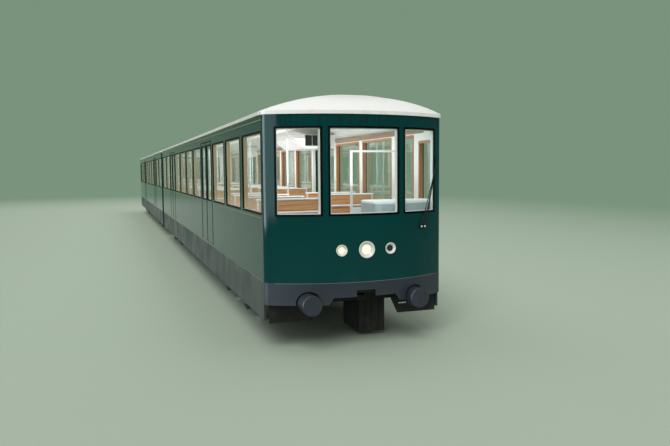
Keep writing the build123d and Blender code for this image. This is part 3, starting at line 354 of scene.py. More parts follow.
def make_timber_grain():
    """Varnished timber: long fibres with darker growth lines."""
    tree, given, result = new_group(
        "timber grain", {"Stretch": (3.0, 60.0, 60.0), "Boards": 3.0}, ("Dark", "Height", "Board")
    )
    where = place_on_car(tree)
    drawn = put(tree, "ShaderNodeVectorMath", {0: where, 1: given["Stretch"]}, operation="MULTIPLY").outputs[0]
    fibres = noise(tree, drawn, 3.0, 6.0)
    lines = noise(tree, drawn, 0.6, 2.0)
    both = maths(tree, "MULTIPLY_ADD", fibres, 0.55, maths(tree, "MULTIPLY", lines, 0.45))
    wire(tree, ease(tree, both, 0.35, 0.68), result["Dark"])
    wire(tree, fibres, result["Height"])
    wire(tree, noise(tree, where, given["Boards"], 0.0), result["Board"])
    return tree


def make_cast_skin():
    """The skin of heavy steel: pits, grease and rust in patches."""
    tree, given, result = new_group(
        "cast skin", {"Scale": 8.0, "Rust": 0.5}, ("Rust", "Height", "Roughness")
    )
    where = place_on_car(tree)
    patches = noise(tree, where, given["Scale"], 8.0)
    edge = maths(tree, "SUBTRACT", 0.75, maths(tree, "MULTIPLY", given["Rust"], 0.4))
    rust = ease(tree, patches, edge, maths(tree, "ADD", edge, 0.12))
    pits = noise(tree, where, 160.0, 3.0)
    wire(tree, rust, result["Rust"])
    wire(tree, maths(tree, "MULTIPLY_ADD", rust, 0.5, pits), result["Height"])
    wire(tree, maths(tree, "MULTIPLY_ADD", rust, 0.3, 0.5), result["Roughness"])
    return tree


def make_shell_zones():
    """Tells the body's inner faces, and the part of it that lies at the noses."""
    tree, given, result = new_group("shell zones", {"Skin": 0.004, "Side skin": 0.024}, ("Inside", "Nose"))
    x, y, z = axes_of(tree, place_on_car(tree))
    across = maths(tree, "ABSOLUTE", x)
    along = maths(tree, "ABSOLUTE", y)
    from_centre = maths(tree, "SUBTRACT", along, -BOW_CENTRE_Y)
    reach = maths(
        tree,
        "SQRT",
        maths(tree, "ADD", maths(tree, "MULTIPLY", x, x), maths(tree, "MULTIPLY", from_centre, from_centre)),
    )
    within_sides = maths(tree, "LESS_THAN", across, maths(tree, "ADD", given["Side skin"], BODY_HALF - WALL))
    within_bow = maths(tree, "LESS_THAN", reach, maths(tree, "ADD", given["Skin"], BOW_RADIUS - WALL))
    before_centre = maths(tree, "LESS_THAN", along, -BOW_CENTRE_Y)
    within_nose = maths(tree, "MAXIMUM", within_bow, before_centre)
    within_end = maths(
        tree, "GREATER_THAN", along, maths(tree, "SUBTRACT", END_WALL - BACK_Y, given["Skin"])
    )
    inside = maths(tree, "MULTIPLY", maths(tree, "MULTIPLY", within_sides, within_nose), within_end)
    wire(tree, inside, result["Inside"])
    wire(tree, maths(tree, "GREATER_THAN", along, -CORNER_Y - CORNER_ROUND / 2), result["Nose"])
    return tree


paint_surface = make_paint_surface()
road_dust = make_road_dust()
eave_shade_streaks = make_eave_shade_streaks()
timber_grain = make_timber_grain()
cast_skin = make_cast_skin()
shell_zones = make_shell_zones()

DUST = (0.30, 0.25, 0.19)
WHITE_WALL = (0.80, 0.82, 0.80)
RUST = (0.16, 0.06, 0.025)
# Painted shade: the dark tone painted into the green under the roof's edge, for the overhang's shade and its dark
# reflection
EAVE_SHADE = (0.006, 0.018, 0.022)


def new_finish(name):
    """A new material: itself, its tree and its Principled shader."""
    material = bpy.data.materials.new(name)
    material.use_nodes = True
    return material, material.node_tree, material.node_tree.nodes["Principled BSDF"]


def fit(tree, shader, sockets):
    """Wires or writes the sockets of a shader."""
    for name, value in sockets.items():
        wire(tree, value, shader.inputs[name])


def green_paint():
    """Glossy dark green outside, with painted shade in streaks under the roof's edge; white inside."""
    material, tree, shader = new_finish("green body paint")
    surface = use(tree, paint_surface, Gloss=0.05, Dulling=0.04)
    where = place_on_car(tree)
    clouds = noise(tree, where, 0.9, 3.0)
    green = mix_colours(tree, clouds, (0.0, 0.034, 0.034), (0.0, 0.046, 0.043))
    # Painted shade: the green darkens in streaks under the roof's edge, for the overhang's shade and its dark
    # reflection
    painted_eave_shade = use(tree, eave_shade_streaks, Top=EAVE_Z, Length=0.26, Width=24.0, Amount=0.85)["Mask"]
    shaded_green = mix_colours(tree, painted_eave_shade, green, EAVE_SHADE)
    dust = use(tree, road_dust, Top=1.5, Bottom=0.8, Amount=0.012)["Mask"]
    outside = mix_colours(tree, dust, shaded_green, DUST)
    inside = use(tree, shell_zones)["Inside"]
    fit(
        tree,
        shader,
        {
            "Base Color": mix_colours(tree, inside, outside, WHITE_WALL),
            "Roughness": maths(tree, "MULTIPLY_ADD", inside, 0.3, surface["Roughness"]),
            "Specular IOR Level": 0.15,
            "Normal": bump(tree, surface["Height"], 0.0012),
        },
    )
    return material


def white_moulding():
    """The satin white roof, greyed a little along its edges."""
    material, tree, shader = new_finish("white roof moulding")
    surface = use(tree, paint_surface, Gloss=0.3, Dulling=0.15)
    where = place_on_car(tree)
    edge = ease(tree, axes_of(tree, where)[2], roof_low.z + 0.11, roof_low.z)
    streaks = ease(tree, noise(tree, where, 9.0, 6.0), 0.45, 0.8)
    soot = maths(tree, "MULTIPLY", maths(tree, "MULTIPLY", edge, streaks), 0.25)
    fit(
        tree,
        shader,
        {
            "Base Color": mix_colours(tree, soot, (0.84, 0.84, 0.81), (0.45, 0.44, 0.40)),
            "Roughness": surface["Roughness"],
            "Specular IOR Level": 0.25,
            "Normal": bump(tree, surface["Height"], 0.002),
        },
    )
    return material


def painted_metal(name, colour, gloss, dust_amount, top=0.9, peel=0.001, shine=0.3):
    """Paint over steel, dusty towards the wheels."""
    material, tree, shader = new_finish(name)
    surface = use(tree, paint_surface, Gloss=gloss, Dulling=0.15)
    dust = use(tree, road_dust, Top=top, Bottom=0.2, Amount=dust_amount)["Mask"]
    faded = tuple(min(1, c * 1.35 + 0.004) for c in colour)
    tone = mix_colours(tree, noise(tree, place_on_car(tree), 2.5, 4.0), colour, faded)
    fit(
        tree,
        shader,
        {
            "Base Color": mix_colours(tree, dust, tone, DUST),
            "Roughness": maths(tree, "MULTIPLY_ADD", dust, 0.4, surface["Roughness"]),
            "Specular IOR Level": shine,
            "Normal": bump(tree, surface["Height"], peel),
        },
    )
    return material


def black_rubber():
    """Matt black rubber with a faint bloom."""
    material, tree, shader = new_finish("black window rubber")
    where = place_on_car(tree)
    bloom = ease(tree, noise(tree, where, 14.0, 5.0), 0.4, 0.8)
    fit(
        tree,
        shader,
        {
            "Base Color": mix_colours(tree, bloom, (0.0015, 0.0015, 0.002), (0.005, 0.005, 0.006)),
            "Roughness": maths(tree, "MULTIPLY_ADD", bloom, 0.2, 0.5),
            "Specular IOR Level": 0.06,
            "Normal": bump(tree, noise(tree, where, 500.0, 2.0), 0.0003),
        },
    )
    return material


def window_glass():
    """Clear glass with a faint green tint, which lets daylight into the car."""
    material, tree, shader = new_finish("window glass")
    where = place_on_car(tree)
    smear = ease(tree, noise(tree, where, 2.2, 5.0), 0.4, 0.8, 0.0, 0.035)
    tint = (0.93, 0.96, 0.95)
    fit(
        tree,
        shader,
        {
            "Base Color": tint,
            "Transmission Weight": 1.0,
            "IOR": 1.45,
            "Roughness": smear,
            "Normal": bump(tree, noise(tree, where, 1.5, 1.0), 0.0006),
        },
    )
    rays = put(tree, "ShaderNodeLightPath").outputs
    daylight = maths(tree, "MAXIMUM", rays["Is Shadow Ray"], rays["Is Diffuse Ray"])
    clear = put(tree, "ShaderNodeBsdfTransparent", {"Color": tint})
    either = put(tree, "ShaderNodeMixShader", {0: daylight, 1: shader.outputs[0], 2: clear.outputs[0]})
    tree.links.new(either.outputs[0], tree.nodes["Material Output"].inputs["Surface"])
    return material


def timber(name, light, dark, stretch, white_at_nose=False):
    """Varnished timber; the linings of the nose windows are painted white instead."""
    material, tree, shader = new_finish(name)
    grain = use(tree, timber_grain, Stretch=stretch)
    colour = mix_colours(tree, grain["Dark"], light, dark)
    toned = mix_colours(tree, maths(tree, "MULTIPLY", grain["Board"], 0.35), colour, dark)
    roughness = maths(tree, "MULTIPLY_ADD", grain["Height"], 0.15, 0.22)
    if white_at_nose:
        toned = mix_colours(tree, use(tree, shell_zones)["Nose"], toned, WHITE_WALL)
    fit(
        tree,
        shader,
        {
            "Base Color": toned,
            "Roughness": roughness,
            "Coat Weight": 0.3,
            "Coat Roughness": 0.12,
            "Normal": bump(tree, grain["Height"], 0.0006),
        },
    )
    return material


def desk_moulding():
    """The desk at the nose: blue-grey and grained, with its top painted pale as a highlight where light falls on it.
    """
    material, tree, shader = new_finish("desk moulding")
    where = place_on_car(tree)
    # Painted highlight: the top is painted pale, for the light that falls on it from above
    top = ease(tree, axes_of(tree, where)[2], DESK_TOP_Z - 0.042, DESK_TOP_Z - 0.034)
    grain = noise(tree, where, 350.0, 2.0)
    fit(
        tree,
        shader,
        {
            "Base Color": mix_colours(tree, top, (0.36, 0.43, 0.47), (0.80, 0.83, 0.84)),
            "Roughness": maths(tree, "MULTIPLY_ADD", grain, 0.15, 0.35),
            "Normal": bump(tree, grain, 0.0006),
        },
    )
    return material


STUD_PITCH = 0.03


def floor_covering():
    """Grey rubber flooring with raised studs, scuffed by use."""
    material, tree, shader = new_finish("studded flooring")
    where = place_on_car(tree)
    offsets = []
    for axis in axes_of(tree, where)[:2]:
        share = maths(tree, "FRACT", maths(tree, "DIVIDE", maths(tree, "ADD", axis, 100), STUD_PITCH))
        offsets.append(maths(tree, "SUBTRACT", share, 0.5))
    squares = [maths(tree, "MULTIPLY", offset, offset) for offset in offsets]
    reach = maths(tree, "SQRT", maths(tree, "ADD", *squares))
    studs = ease(tree, reach, 0.38, 0.3)
    scuffs = ease(tree, noise(tree, where, 4.0, 7.0), 0.45, 0.75)
    fit(
        tree,
        shader,
        {
            "Base Color": mix_colours(tree, scuffs, (0.13, 0.13, 0.125), (0.22, 0.21, 0.2)),
            "Roughness": maths(tree, "MULTIPLY_ADD", scuffs, 0.25, 0.45),
            "Normal": bump(tree, studs, 0.0015),
        },
    )
    return material


def lamp_lens():
    """Pressed lenses: the left and middle ones burn, the right one is dark behind its glass."""
    material, tree, shader = new_finish("lamp lens")
    where = place_on_car(tree)
    x, y = axes_of(tree, where)[:2]
    burning = maths(tree, "MULTIPLY", maths(tree, "LESS_THAN", x, 0.2), maths(tree, "LESS_THAN", y, 0.0))
    flutes = maths(tree, "SINE", maths(tree, "MULTIPLY", x, 900.0))
    cells = noise(tree, where, 60.0, 1.0)
    glow = mix_colours(tree, ease(tree, cells, 0.35, 0.65), (0.95, 0.83, 0.58), (1.0, 0.97, 0.88))
    fit(
        tree,
        shader,
        {
            "Base Color": mix_colours(tree, burning, (0.012, 0.013, 0.014), (0.62, 0.57, 0.47)),
            "Roughness": maths(tree, "MULTIPLY_ADD", noise(tree, where, 40.0, 2.0), 0.06, 0.04),
            "Emission Color": mix_colours(tree, burning, (0, 0, 0), glow),
            "Emission Strength": 0.6,
            "Normal": bump(tree, flutes, 0.0006),
        },
    )
    return material


def pale_enamel():
    """The thick pale rings of the lamps: stoved enamel, a little yellowed and crazed."""
    material, tree, shader = new_finish("pale lamp enamel")
    where = place_on_car(tree)
    clouds = noise(tree, where, 20.0, 3.0)
    fine = noise(tree, where, 260.0, 2.0)
    fit(
        tree,
        shader,
        {
            "Base Color": mix_colours(tree, clouds, (0.74, 0.75, 0.70), (0.60, 0.60, 0.55)),
            "Roughness": maths(tree, "MULTIPLY_ADD", fine, 0.12, 0.2),
            "Normal": bump(tree, fine, 0.0002),
        },
    )
    return material


def light_diffuser():
    """The long ceiling lights: an opal cover, a little darker towards its edges."""
    material, tree, shader = new_finish("opal light cover")
    where = place_on_car(tree)
    opal = noise(tree, where, 6.0, 2.0)
    fit(
        tree,
        shader,
        {
            "Base Color": (0.9, 0.9, 0.88),
            "Roughness": maths(tree, "MULTIPLY_ADD", opal, 0.1, 0.3),
            "Emission Color": mix_colours(tree, opal, (1.0, 0.97, 0.92), (0.97, 0.96, 0.93)),
            "Emission Strength": 0.45,
            "Normal": bump(tree, noise(tree, where, 300.0, 1.0), 0.0002),
        },
    )
    return material


def heavy_metal(name, colour, rust_share, dust_amount, shine=0.5):
    """Cast or forged steel with grease, rust and dust."""
    material, tree, shader = new_finish(name)
    skin = use(tree, cast_skin, Rust=rust_share)
    dust = use(tree, road_dust, Top=0.8, Bottom=0.1, Amount=dust_amount)["Mask"]
    metal = mix_colours(tree, skin["Rust"], colour, RUST)
    fit(
        tree,
        shader,
        {
            "Base Color": mix_colours(tree, dust, metal, DUST),
            "Specular IOR Level": shine,
            "Roughness": maths(tree, "MULTIPLY_ADD", dust, 0.3, skin["Roughness"]),
            "Normal": bump(tree, skin["Height"], 0.0015),
        },
    )
    return material


def wheel_steel():
    """Wheels: treads and flanges worn bright, discs dark with brake dust."""
    material, tree, shader = new_finish("wheel steel")
    y, z = axes_of(tree, place_on_car(tree))[1:]
    skin = use(tree, cast_skin, Rust=0.55, Scale=12.0)
    nearest = None
    for place in axle_places:
        gap = maths(tree, "ABSOLUTE", maths(tree, "SUBTRACT", y, place))
        nearest = gap if nearest is None else maths(tree, "MINIMUM", nearest, gap)
    rise = maths(tree, "SUBTRACT", z, AXLE_Z)
    squares = maths(tree, "ADD", maths(tree, "MULTIPLY", nearest, nearest), maths(tree, "MULTIPLY", rise, rise))
    reach = maths(tree, "SQRT", squares)
    tread = ease(tree, reach, 0.238, 0.247)
    dark = mix_colours(tree, skin["Rust"], (0.055, 0.05, 0.046), RUST)
    fit(
        tree,
        shader,
        {
            "Base Color": mix_colours(tree, tread, dark, (0.55, 0.53, 0.5)),
            "Metallic": tread,
            "Roughness": mix_value(tree, tread, skin["Roughness"], 0.25),
            "Normal": bump(tree, skin["Height"], 0.0008),
        },
    )
    return material


finishes = {
    "green_body": green_paint(),
    "white_roof": white_moulding(),
    "grey_skirt": painted_metal("blue-grey skirt paint", (0.021, 0.027, 0.038), 0.3, 0.10),
    "black_metal": painted_metal("black fittings", (0.007, 0.007, 0.008), 0.35, 0.10, shine=0.2),
    "black_rubber": black_rubber(),
    "window_glass": window_glass(),
    "lining_wood": timber("window lining timber", (0.56, 0.24, 0.085), (0.32, 0.11, 0.03), (60, 60, 3), True),
    "seat_wood": timber("seat slat timber", (0.90, 0.46, 0.19), (0.60, 0.25, 0.08), (3, 60, 60)),
    "white_metal": painted_metal("white tube and panel paint", (0.76, 0.78, 0.77), 0.15, 0.0, peel=0.0005),
    "console_grey": desk_moulding(),
    "floor_covering": floor_covering(),
    "lamp_glass": lamp_lens(),
    "lamp_enamel": pale_enamel(),
    "chassis": heavy_metal("underframe steel", (0.008, 0.008, 0.009), 0.12, 0.08, shine=0.2),
    "bogie_metal": heavy_metal("bogie casting", (0.028, 0.025, 0.023), 0.35, 0.5),
    "wheel_steel": wheel_steel(),
}
finishes["cove"] = timber("cove board timber", (0.36, 0.26, 0.18), (0.24, 0.15, 0.09), (60, 3, 60))
for part in frame["record"]["subparts"]:
    node = frame["nodes"][part["node"]]
    for slot in node.material_slots:
        slot.material = finishes[part["material_slot"]]

trim_paint = painted_metal("dull trim", (0.15, 0.19, 0.12), 0.35, 0.0, peel=0.0003)
seam_paint = painted_metal("grey seam strip", (0.10, 0.13, 0.14), 0.35, 0.0, peel=0.0003)
opal_cover = light_diffuser()


# Trim strips along both sides
def window_runs():
    """Start and end along Y of each run of windows."""
    return (
        (CORNER_Y + CORNER_ROUND, FRONT_DOOR_Y),
        (FRONT_DOOR_Y + DOOR_BAY, REAR_DOOR_Y),
        (REAR_DOOR_Y + DOOR_BAY, BACK_Y),
    )


def add_strip(bm, runs, size):
    """A flat strip on each side of the body, along the given runs."""
    height, depth, proud = size
    for start, end in runs:
        for side in (-1, 1):
            near, far = sorted((side * (BODY_HALF - 0.001), side * (BODY_HALF + proud)))
            add_block(bm, (near, start, height - depth / 2), (far, end, height + depth / 2))


on_both_sections(
    "gutter",
    lambda bm: add_strip(bm, ((CORNER_Y + CORNER_ROUND * 0.6, BACK_Y),), GUTTER),
    trim_paint,
    0.003,
)
on_both_sections("sill_strips", lambda bm: add_strip(bm, window_runs(), SILL_STRIP), trim_paint, 0.002)
on_both_sections(
    "waist_strips", lambda bm: add_strip(bm, window_runs(), WAIST_STRIP), trim_paint, 0.0015
)


# A thin strip over the seam between the nose and its skirt
NOSE_STRIP_REACH = 1.13
NOSE_STRIP_STEPS = 40


def add_nose_strip(bm):
    """A narrow strip bent to the nose."""
    height, depth, proud = NOSE_STRIP
    loops = []
    for i in range(NOSE_STRIP_STEPS + 1):
        x = NOSE_STRIP_REACH * (2 * i / NOSE_STRIP_STEPS - 1)
        face = nose_y(x)
        front, back, low, high = face - proud, face + 0.001, height - depth / 2, height + depth / 2
        loops.append([(x, front, low), (x, front, high), (x, back, high), (x, back, low)])
    add_tube(bm, loops, closed=False)


on_both_sections("nose_strip", add_nose_strip, seam_paint)


# Timber boards over the windows, leaning a little away from the wall
COVE_WALL = (BODY_HALF - WALL - 0.001, 2.860)
COVE_CEILING = (BODY_HALF - WALL - 0.026, 2.936)
COVE_THICKNESS = 0.012
COVE_SPACE = 0.05
COVE_FRONT_Y = CORNER_Y + 0.32


def add_cove_boards(bm):
    """A board along each run of windows, on both sides."""
    (wall_x, wall_z), (top_x, top_z) = COVE_WALL, COVE_CEILING
    for start, end in window_runs():
        for side in (-1, 1):
            loops = []
            for y in (max(start, COVE_FRONT_Y) + COVE_SPACE, min(end, BACK_Y - END_WALL) - COVE_SPACE):
                loops.append(
                    [
                        (side * wall_x, y, wall_z),
                        (side * top_x, y, top_z),
                        (side * top_x, y, top_z + COVE_THICKNESS),
                        (side * wall_x, y, wall_z + COVE_THICKNESS),
                    ]
                )
            add_tube(bm, loops, closed=False)


on_both_sections("cove_boards", add_cove_boards, finishes["cove"], 0.003)


# The arched board between the flat wall at the hinged end and the roof: its hold in the wall and in the roof
ARCH_BOARD_Y = (BACK_Y - END_WALL + 0.002, BACK_Y - 0.002)
ARCH_BOARD_HALF = 1.21
ARCH_BOARD_STEPS = 32
ARCH_BOARD_HOLD = (0.002, 0.008)


def add_arch_board(bm):
    """Closes the roof's arch at the hinged end, held a little in the wall below and the roof above."""
    below, above = ARCH_BOARD_HOLD
    across = [ARCH_BOARD_HALF * (1 - 2 * i / ARCH_BOARD_STEPS) for i in range(ARCH_BOARD_STEPS + 1)]
    rim = [(x, ceiling_z(x) + above) for x in across]
    rim += [(-ARCH_BOARD_HALF, EAVE_Z - below), (ARCH_BOARD_HALF, EAVE_Z - below)]
    add_tube(bm, [[(x, y, z) for x, z in rim] for y in ARCH_BOARD_Y], closed=False)


on_both_sections("arch_board", add_arch_board, finishes["green_body"])


# Nose windows: pale beads that hold the panes, by their trim off the opening and their depth behind the face
BEAD = (0.026, 0.038)
BEAD_DEPTH = (0.0165, 0.0235)
BEAD_ROUND = 0.008


def add_beads(bm):
    """A flat bead behind each curved pane, bent to the nose."""
    near, far = BEAD_DEPTH
    for x0, x1 in NOSE_PANES:
        rims = [
            rounded_outline(
                x0 + trim, x1 - trim, NOSE_SILL_Z + trim, NOSE_HEAD_Z - trim, max(NOSE_PANE_ROUND - trim, BEAD_ROUND)
            )
            for trim in BEAD
        ]
        loops = [(rims[0], near), (rims[1], near), (rims[1], far), (rims[0], far)]
        add_tube(bm, [[(x, nose_y(x, depth), z) for x, z in rim] for rim, depth in loops])


on_both_sections("nose_window_beads", add_beads, finishes["white_metal"])


# Ceiling lights
LIGHT_X = 0.60
LIGHT_WIDTH = 0.11
LIGHT_DEPTH = 0.022
LIGHT_SEAT = 0.004
LIGHT_STEPS = 8
LIGHT_ENDS = (CORNER_Y + 0.45, BACK_Y - 0.35)


def add_ceiling_lights(bm):
    """Two long domed covers, tilted to the arched ceiling."""
    for side in (-1, 1):
        rim = []
        for i in range(LIGHT_STEPS + 1):
            across = side * LIGHT_X + LIGHT_WIDTH * (i / LIGHT_STEPS - 0.5)
            hang = LIGHT_DEPTH * math.sin(math.pi * i / LIGHT_STEPS) ** 0.5
            rim.append((across, ceiling_z(across) - hang))
        rim += [(x, ceiling_z(x) + LIGHT_SEAT) for x in (rim[-1][0], rim[0][0])]
        add_tube(bm, [[(x, y, z) for x, z in rim] for y in LIGHT_ENDS], closed=False)


on_both_sections("ceiling_lights", add_ceiling_lights, opal_cover)


# Air vents in the end of the cover over the right front doorway
VENTS = ((0.567, 0.700), (0.712, 0.845))
VENT_Z = (2.822, 3.026)
VENT_RIM = 0.008
VENT_PROUD = 0.014
VENT_BLADES = 9

# A slanted blade from the side: behind the rim's front or back, and off its own middle
BLADE_FRONT = 0.012
BLADE_BACK = 0.003
BLADE_CORNERS = ((BLADE_FRONT + 0.001, -0.006), (BLADE_FRONT - 0.001, -0.008))
BLADE_CORNERS += ((BLADE_BACK - 0.001, 0.006), (BLADE_BACK + 0.001, 0.008))


def add_vents(bm):
    """Two vents, each a rim round slanted blades over a dark back."""
    face = FRONT_DOOR_Y
    low, high = VENT_Z
    pitch = (high - low - 2 * VENT_RIM) / VENT_BLADES
    for x0, x1 in VENTS:
        add_block(bm, (x0, face - 0.003, low), (x1, face + 0.002, high))
        for start, end in ((x0, x0 + VENT_RIM), (x1 - VENT_RIM, x1)):
            add_block(bm, (start, face - VENT_PROUD, low), (end, face - 0.001, high))
        for start, end in ((low, low + VENT_RIM), (high - VENT_RIM, high)):
            add_block(bm, (x0, face - VENT_PROUD, start), (x1, face - 0.001, end))
        for i in range(VENT_BLADES):
            z = low + VENT_RIM + pitch * (i + 0.5)
            ends = (x0 + VENT_RIM / 2, x1 - VENT_RIM / 2)
            add_tube(bm, [[(x, face - out, z + up) for out, up in BLADE_CORNERS] for x in ends], closed=False)


on_both_sections("door_gear_vents", add_vents, finishes["black_metal"], 0.001)


# Glass of the screen behind the desk
SCREEN_X = (0.431, 1.141)
SCREEN_Y = (CORNER_Y + 1.262, CORNER_Y + 1.268)
SCREEN_Z = (1.773, 2.609)
on_both_sections(
    "screen_glass",
    lambda bm: add_block(bm, *zip(SCREEN_X, SCREEN_Y, SCREEN_Z)),
    finishes["window_glass"],
    0.001,
)


# Rubber of the doors and their bright sill plates
RUBBER_HALF = 0.009
RUBBER_INSET = 0.002
RUBBER_PROUD = 0.004


def doorway_starts():
    """Both edges of each doorway along Y."""
    middles = (FRONT_DOOR_Y + DOOR_BAY / 2, REAR_DOOR_Y + DOOR_BAY / 2)
    return [(middle - DOORWAY / 2, middle + DOORWAY / 2) for middle in middles]


def add_door_rubber(bm):
    """A lip round each doorway, and two that meet between its leaves."""
    for start, end in doorway_starts():
        middle = (start + end) / 2
        for side in (-1, 1):
            near, far = sorted((side * (BODY_HALF - RUBBER_INSET), side * (BODY_HALF + RUBBER_PROUD)))
            for y in (start + 0.003, end - 0.003):
                corner = (near, y - RUBBER_HALF, FLOOR_Z + 0.001)
                add_block(bm, corner, (far, y + RUBBER_HALF, DOOR_HEAD_Z + RUBBER_HALF))
            add_block(bm, (near, start, DOOR_HEAD_Z - RUBBER_HALF), (far, end, DOOR_HEAD_Z + RUBBER_HALF))
            for y in (middle - RUBBER_HALF, middle + RUBBER_HALF):
                add_block(bm, (near, y - 0.0085, FLOOR_Z + 0.008), (far, y + 0.0085, DOOR_HEAD_Z - 0.002))


def add_door_sills(bm):
    """A flat plate in the floor of each doorway."""
    for start, end in doorway_starts():
        for side in (-1, 1):
            near, far = sorted((side * (BODY_HALF - 0.075), side * (BODY_HALF + 0.006)))
            add_block(bm, (near, start + 0.002, FLOOR_Z - 0.006), (far, end - 0.002, FLOOR_Z + 0.003))


on_both_sections("door_rubber", add_door_rubber, finishes["black_rubber"], 0.002)
on_both_sections("door_sills", add_door_sills, trim_paint, 0.001)


# Rubber gaskets round the lamps: middle across the car and radius of the ring, then the lip's profile
LAMP_GASKETS = ((-0.325, 0.075), (0.006, 0.110), (0.345, 0.075))
LAMP_GASKET_LIP = ((-0.002, -0.001), (-0.002, 0.003), (0.004, 0.003), (0.006, -0.001))
LAMP_Z = 1.325


def add_lamp_gaskets(bm):
    """A thin lip that follows the nose round each lamp."""
    for middle, radius in LAMP_GASKETS:
        loops = []
        for wider, proud in LAMP_GASKET_LIP:
            reach = radius + wider
            spots = [(middle + reach * math.cos(t), LAMP_Z + reach * math.sin(t)) for t in FULL_TURN]
            loops.append([(x, nose_y(x) - proud, z) for x, z in spots])
        add_tube(bm, loops)


on_both_sections("lamp_gaskets", add_lamp_gaskets, finishes["black_rubber"])


# Caps of the wiper's hubs
WIPER_HUBS = (0.842, 0.900)
WIPER_HUB_Z = 1.582
WIPER_HUB_FRONT = 0.040
WIPER_CAP = ((0.013, -0.001), (0.013, 0.003), (0.011, 0.008), (0.006, 0.011), (0.002, 0.012))
WIPER_CAP_TURN = [math.radians(18 * i) for i in range(20)]


def add_wiper_caps(bm):
    """A domed nut on each hub."""
    for x in WIPER_HUBS:
        front = nose_y(x) - WIPER_HUB_FRONT
        loops = []
        for radius, rise in WIPER_CAP:
            spots = [(x + radius * math.cos(t), WIPER_HUB_Z + radius * math.sin(t)) for t in WIPER_CAP_TURN]
            loops.append([(across, front - rise, z) for across, z in spots])
        add_tube(bm, loops, closed=False)


on_both_sections("wiper_caps", add_wiper_caps, finishes["lamp_enamel"])


# Bolts that hold the guard plates
GUARD_BOLTS = (0.555, 0.930, 1.030, 1.130)
GUARD_BOLT_Z = 0.604
GUARD_FACE_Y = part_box("lower_guard_plates")[0].y


def add_guard_bolts(bm):
    """A row of hexagon heads along the top of each guard plate."""
    for x in GUARD_BOLTS:
        for side in (-1, 1):
            add_bolt(bm, (side * x, GUARD_FACE_Y, GUARD_BOLT_Z), (0, -1, 0), GUARD_BOLT)


on_both_sections("guard_bolts", add_guard_bolts, finishes["black_metal"])


# The gear case under the nose, on the side of the flanged wheels
CASE_X = (0.19, 0.57)
CASE_Y = (CORNER_Y + 0.38, CORNER_Y + 1.05)
CASE_Z = (0.058, 0.575)
BEAM_Z = 0.70
BEAM_X = 0.55

# Its lid: how far it stands out at the front and the near side, at the far side, and its bottom and top
LID_PROUD = 0.018
LID_FAR_PROUD = 0.012
LID_LOW = 0.034
LID_HIGH = 0.008
LID_BOLT_DOWN = (LID_LOW + LID_HIGH) / 2

# Its ribs: half their width, how far they stand out and their space to the top and bottom
RIB_HALF = 0.007
RIB_PROUD = 0.012
RIB_SPACE = 0.05

# Its straps: half their width and their place along the case
STRAP_HALF = 0.03
STRAP_INSET = 0.09


def add_gear_case(bm):
    """A ribbed case with a flanged lid, hung from the main beam and a cross strap."""
    (x0, x1), (y0, y1), (z0, z1) = CASE_X, CASE_Y, CASE_Z
    add_block(bm, (x0, y0, z0), (x1, y1, z1))
    lid_corner = (x0 - LID_PROUD, y0 - LID_PROUD, z1 - LID_LOW)
    add_block(bm, lid_corner, (x1 + LID_FAR_PROUD, y1 + LID_PROUD, z1 - LID_HIGH))
    for i in range(3):
        rib = x0 + (x1 - x0) * (0.22 + 0.28 * i)
        rib_corner = (rib - RIB_HALF, y0 - RIB_PROUD, z0 + RIB_SPACE)
        add_block(bm, rib_corner, (rib + RIB_HALF, y0 + 0.004, z1 - RIB_SPACE))
    for y in (y0 + STRAP_INSET, y1 - STRAP_INSET):
        start, end = y - STRAP_HALF, y + STRAP_HALF
        add_block(bm, (x0 + 0.01, start, z1 - 0.004), (BEAM_X + 0.04, end, z1 + 0.012))
        add_block(bm, (BEAM_X - 0.035, start, z1), (BEAM_X + 0.035, end, BEAM_Z + 0.001))


def add_case_bolts(bm):
    """Bolts round the lid of the case, on the faces that show."""
    (x0, x1), (y0, y1) = CASE_X, CASE_Y
    z = CASE_Z[1] - LID_BOLT_DOWN
    for i in range(5):
        across = x0 + (x1 - x0) * (0.08 + 0.21 * i)
        add_bolt(bm, (across, y0 - LID_PROUD, z), (0, -1, 0), CASE_BOLT)
    for i in range(6):
        along = y0 + (y1 - y0) * (0.08 + 0.168 * i)
        add_bolt(bm, (x0 - LID_PROUD, along, z), (-1, 0, 0), CASE_BOLT)
        add_bolt(bm, (x1 + LID_FAR_PROUD, along, z), (1, 0, 0), CASE_BOLT)


on_both_sections("gear_case", add_gear_case, finishes["black_metal"], 0.005)
on_both_sections("gear_case_bolts", add_case_bolts, finishes["black_metal"])


# Bolts of the bogies
for number in range(1, 5):
    bm = bmesh.new()
    for place in axle_places[2 * number - 2 : 2 * number]:
        for side in (-1, 1):
            for i in range(4):
                angle = math.radians(45 + 90 * i)
                spot = (
                    side * AXLE_COVER_X,
                    place + COVER_BOLT_RING * math.cos(angle),
                    AXLE_Z + COVER_BOLT_RING * math.sin(angle),
                )
                add_bolt(bm, spot, (side, 0, 0), COVER_BOLT)
    make_piece(f"bogie_{number}_cover_bolts", bm, finishes["bogie_metal"], f"bogie_{number}")


# Studio: colours, reaches in metres and strengths
BACKDROP = (0.195, 0.290, 0.205)
PALE_FLOOR = (0.39, 0.47, 0.375)
FLOOR_REACH = 600.0
FLOOR_PALE_TO = 2.5
FLOOR_FADED_BY = 30.0
AMBIENT = 0.62
KEY_STRENGTH = 1.75
KEY_DIRECTION = (-0.38, -0.62, 0.70)
KEY_SPREAD = math.radians(35)
SOFT_BOX_X = -19.0
SOFT_BOX_Z = (0.0, 10.0)

# Soft boxes: start and end along Y, and brightness. Then the nodes that they don't reach
SOFT_BOXES = {"bright": (-20.0, -6.5, 14.0), "dim": (-36.5, -20.0, 4.5)}
SOFT_TONE = (0.80, 0.91, 1.0)
SOFT_BOX_SPARES = ("glazing", "left_wall", "right_wall", "door_leaves")

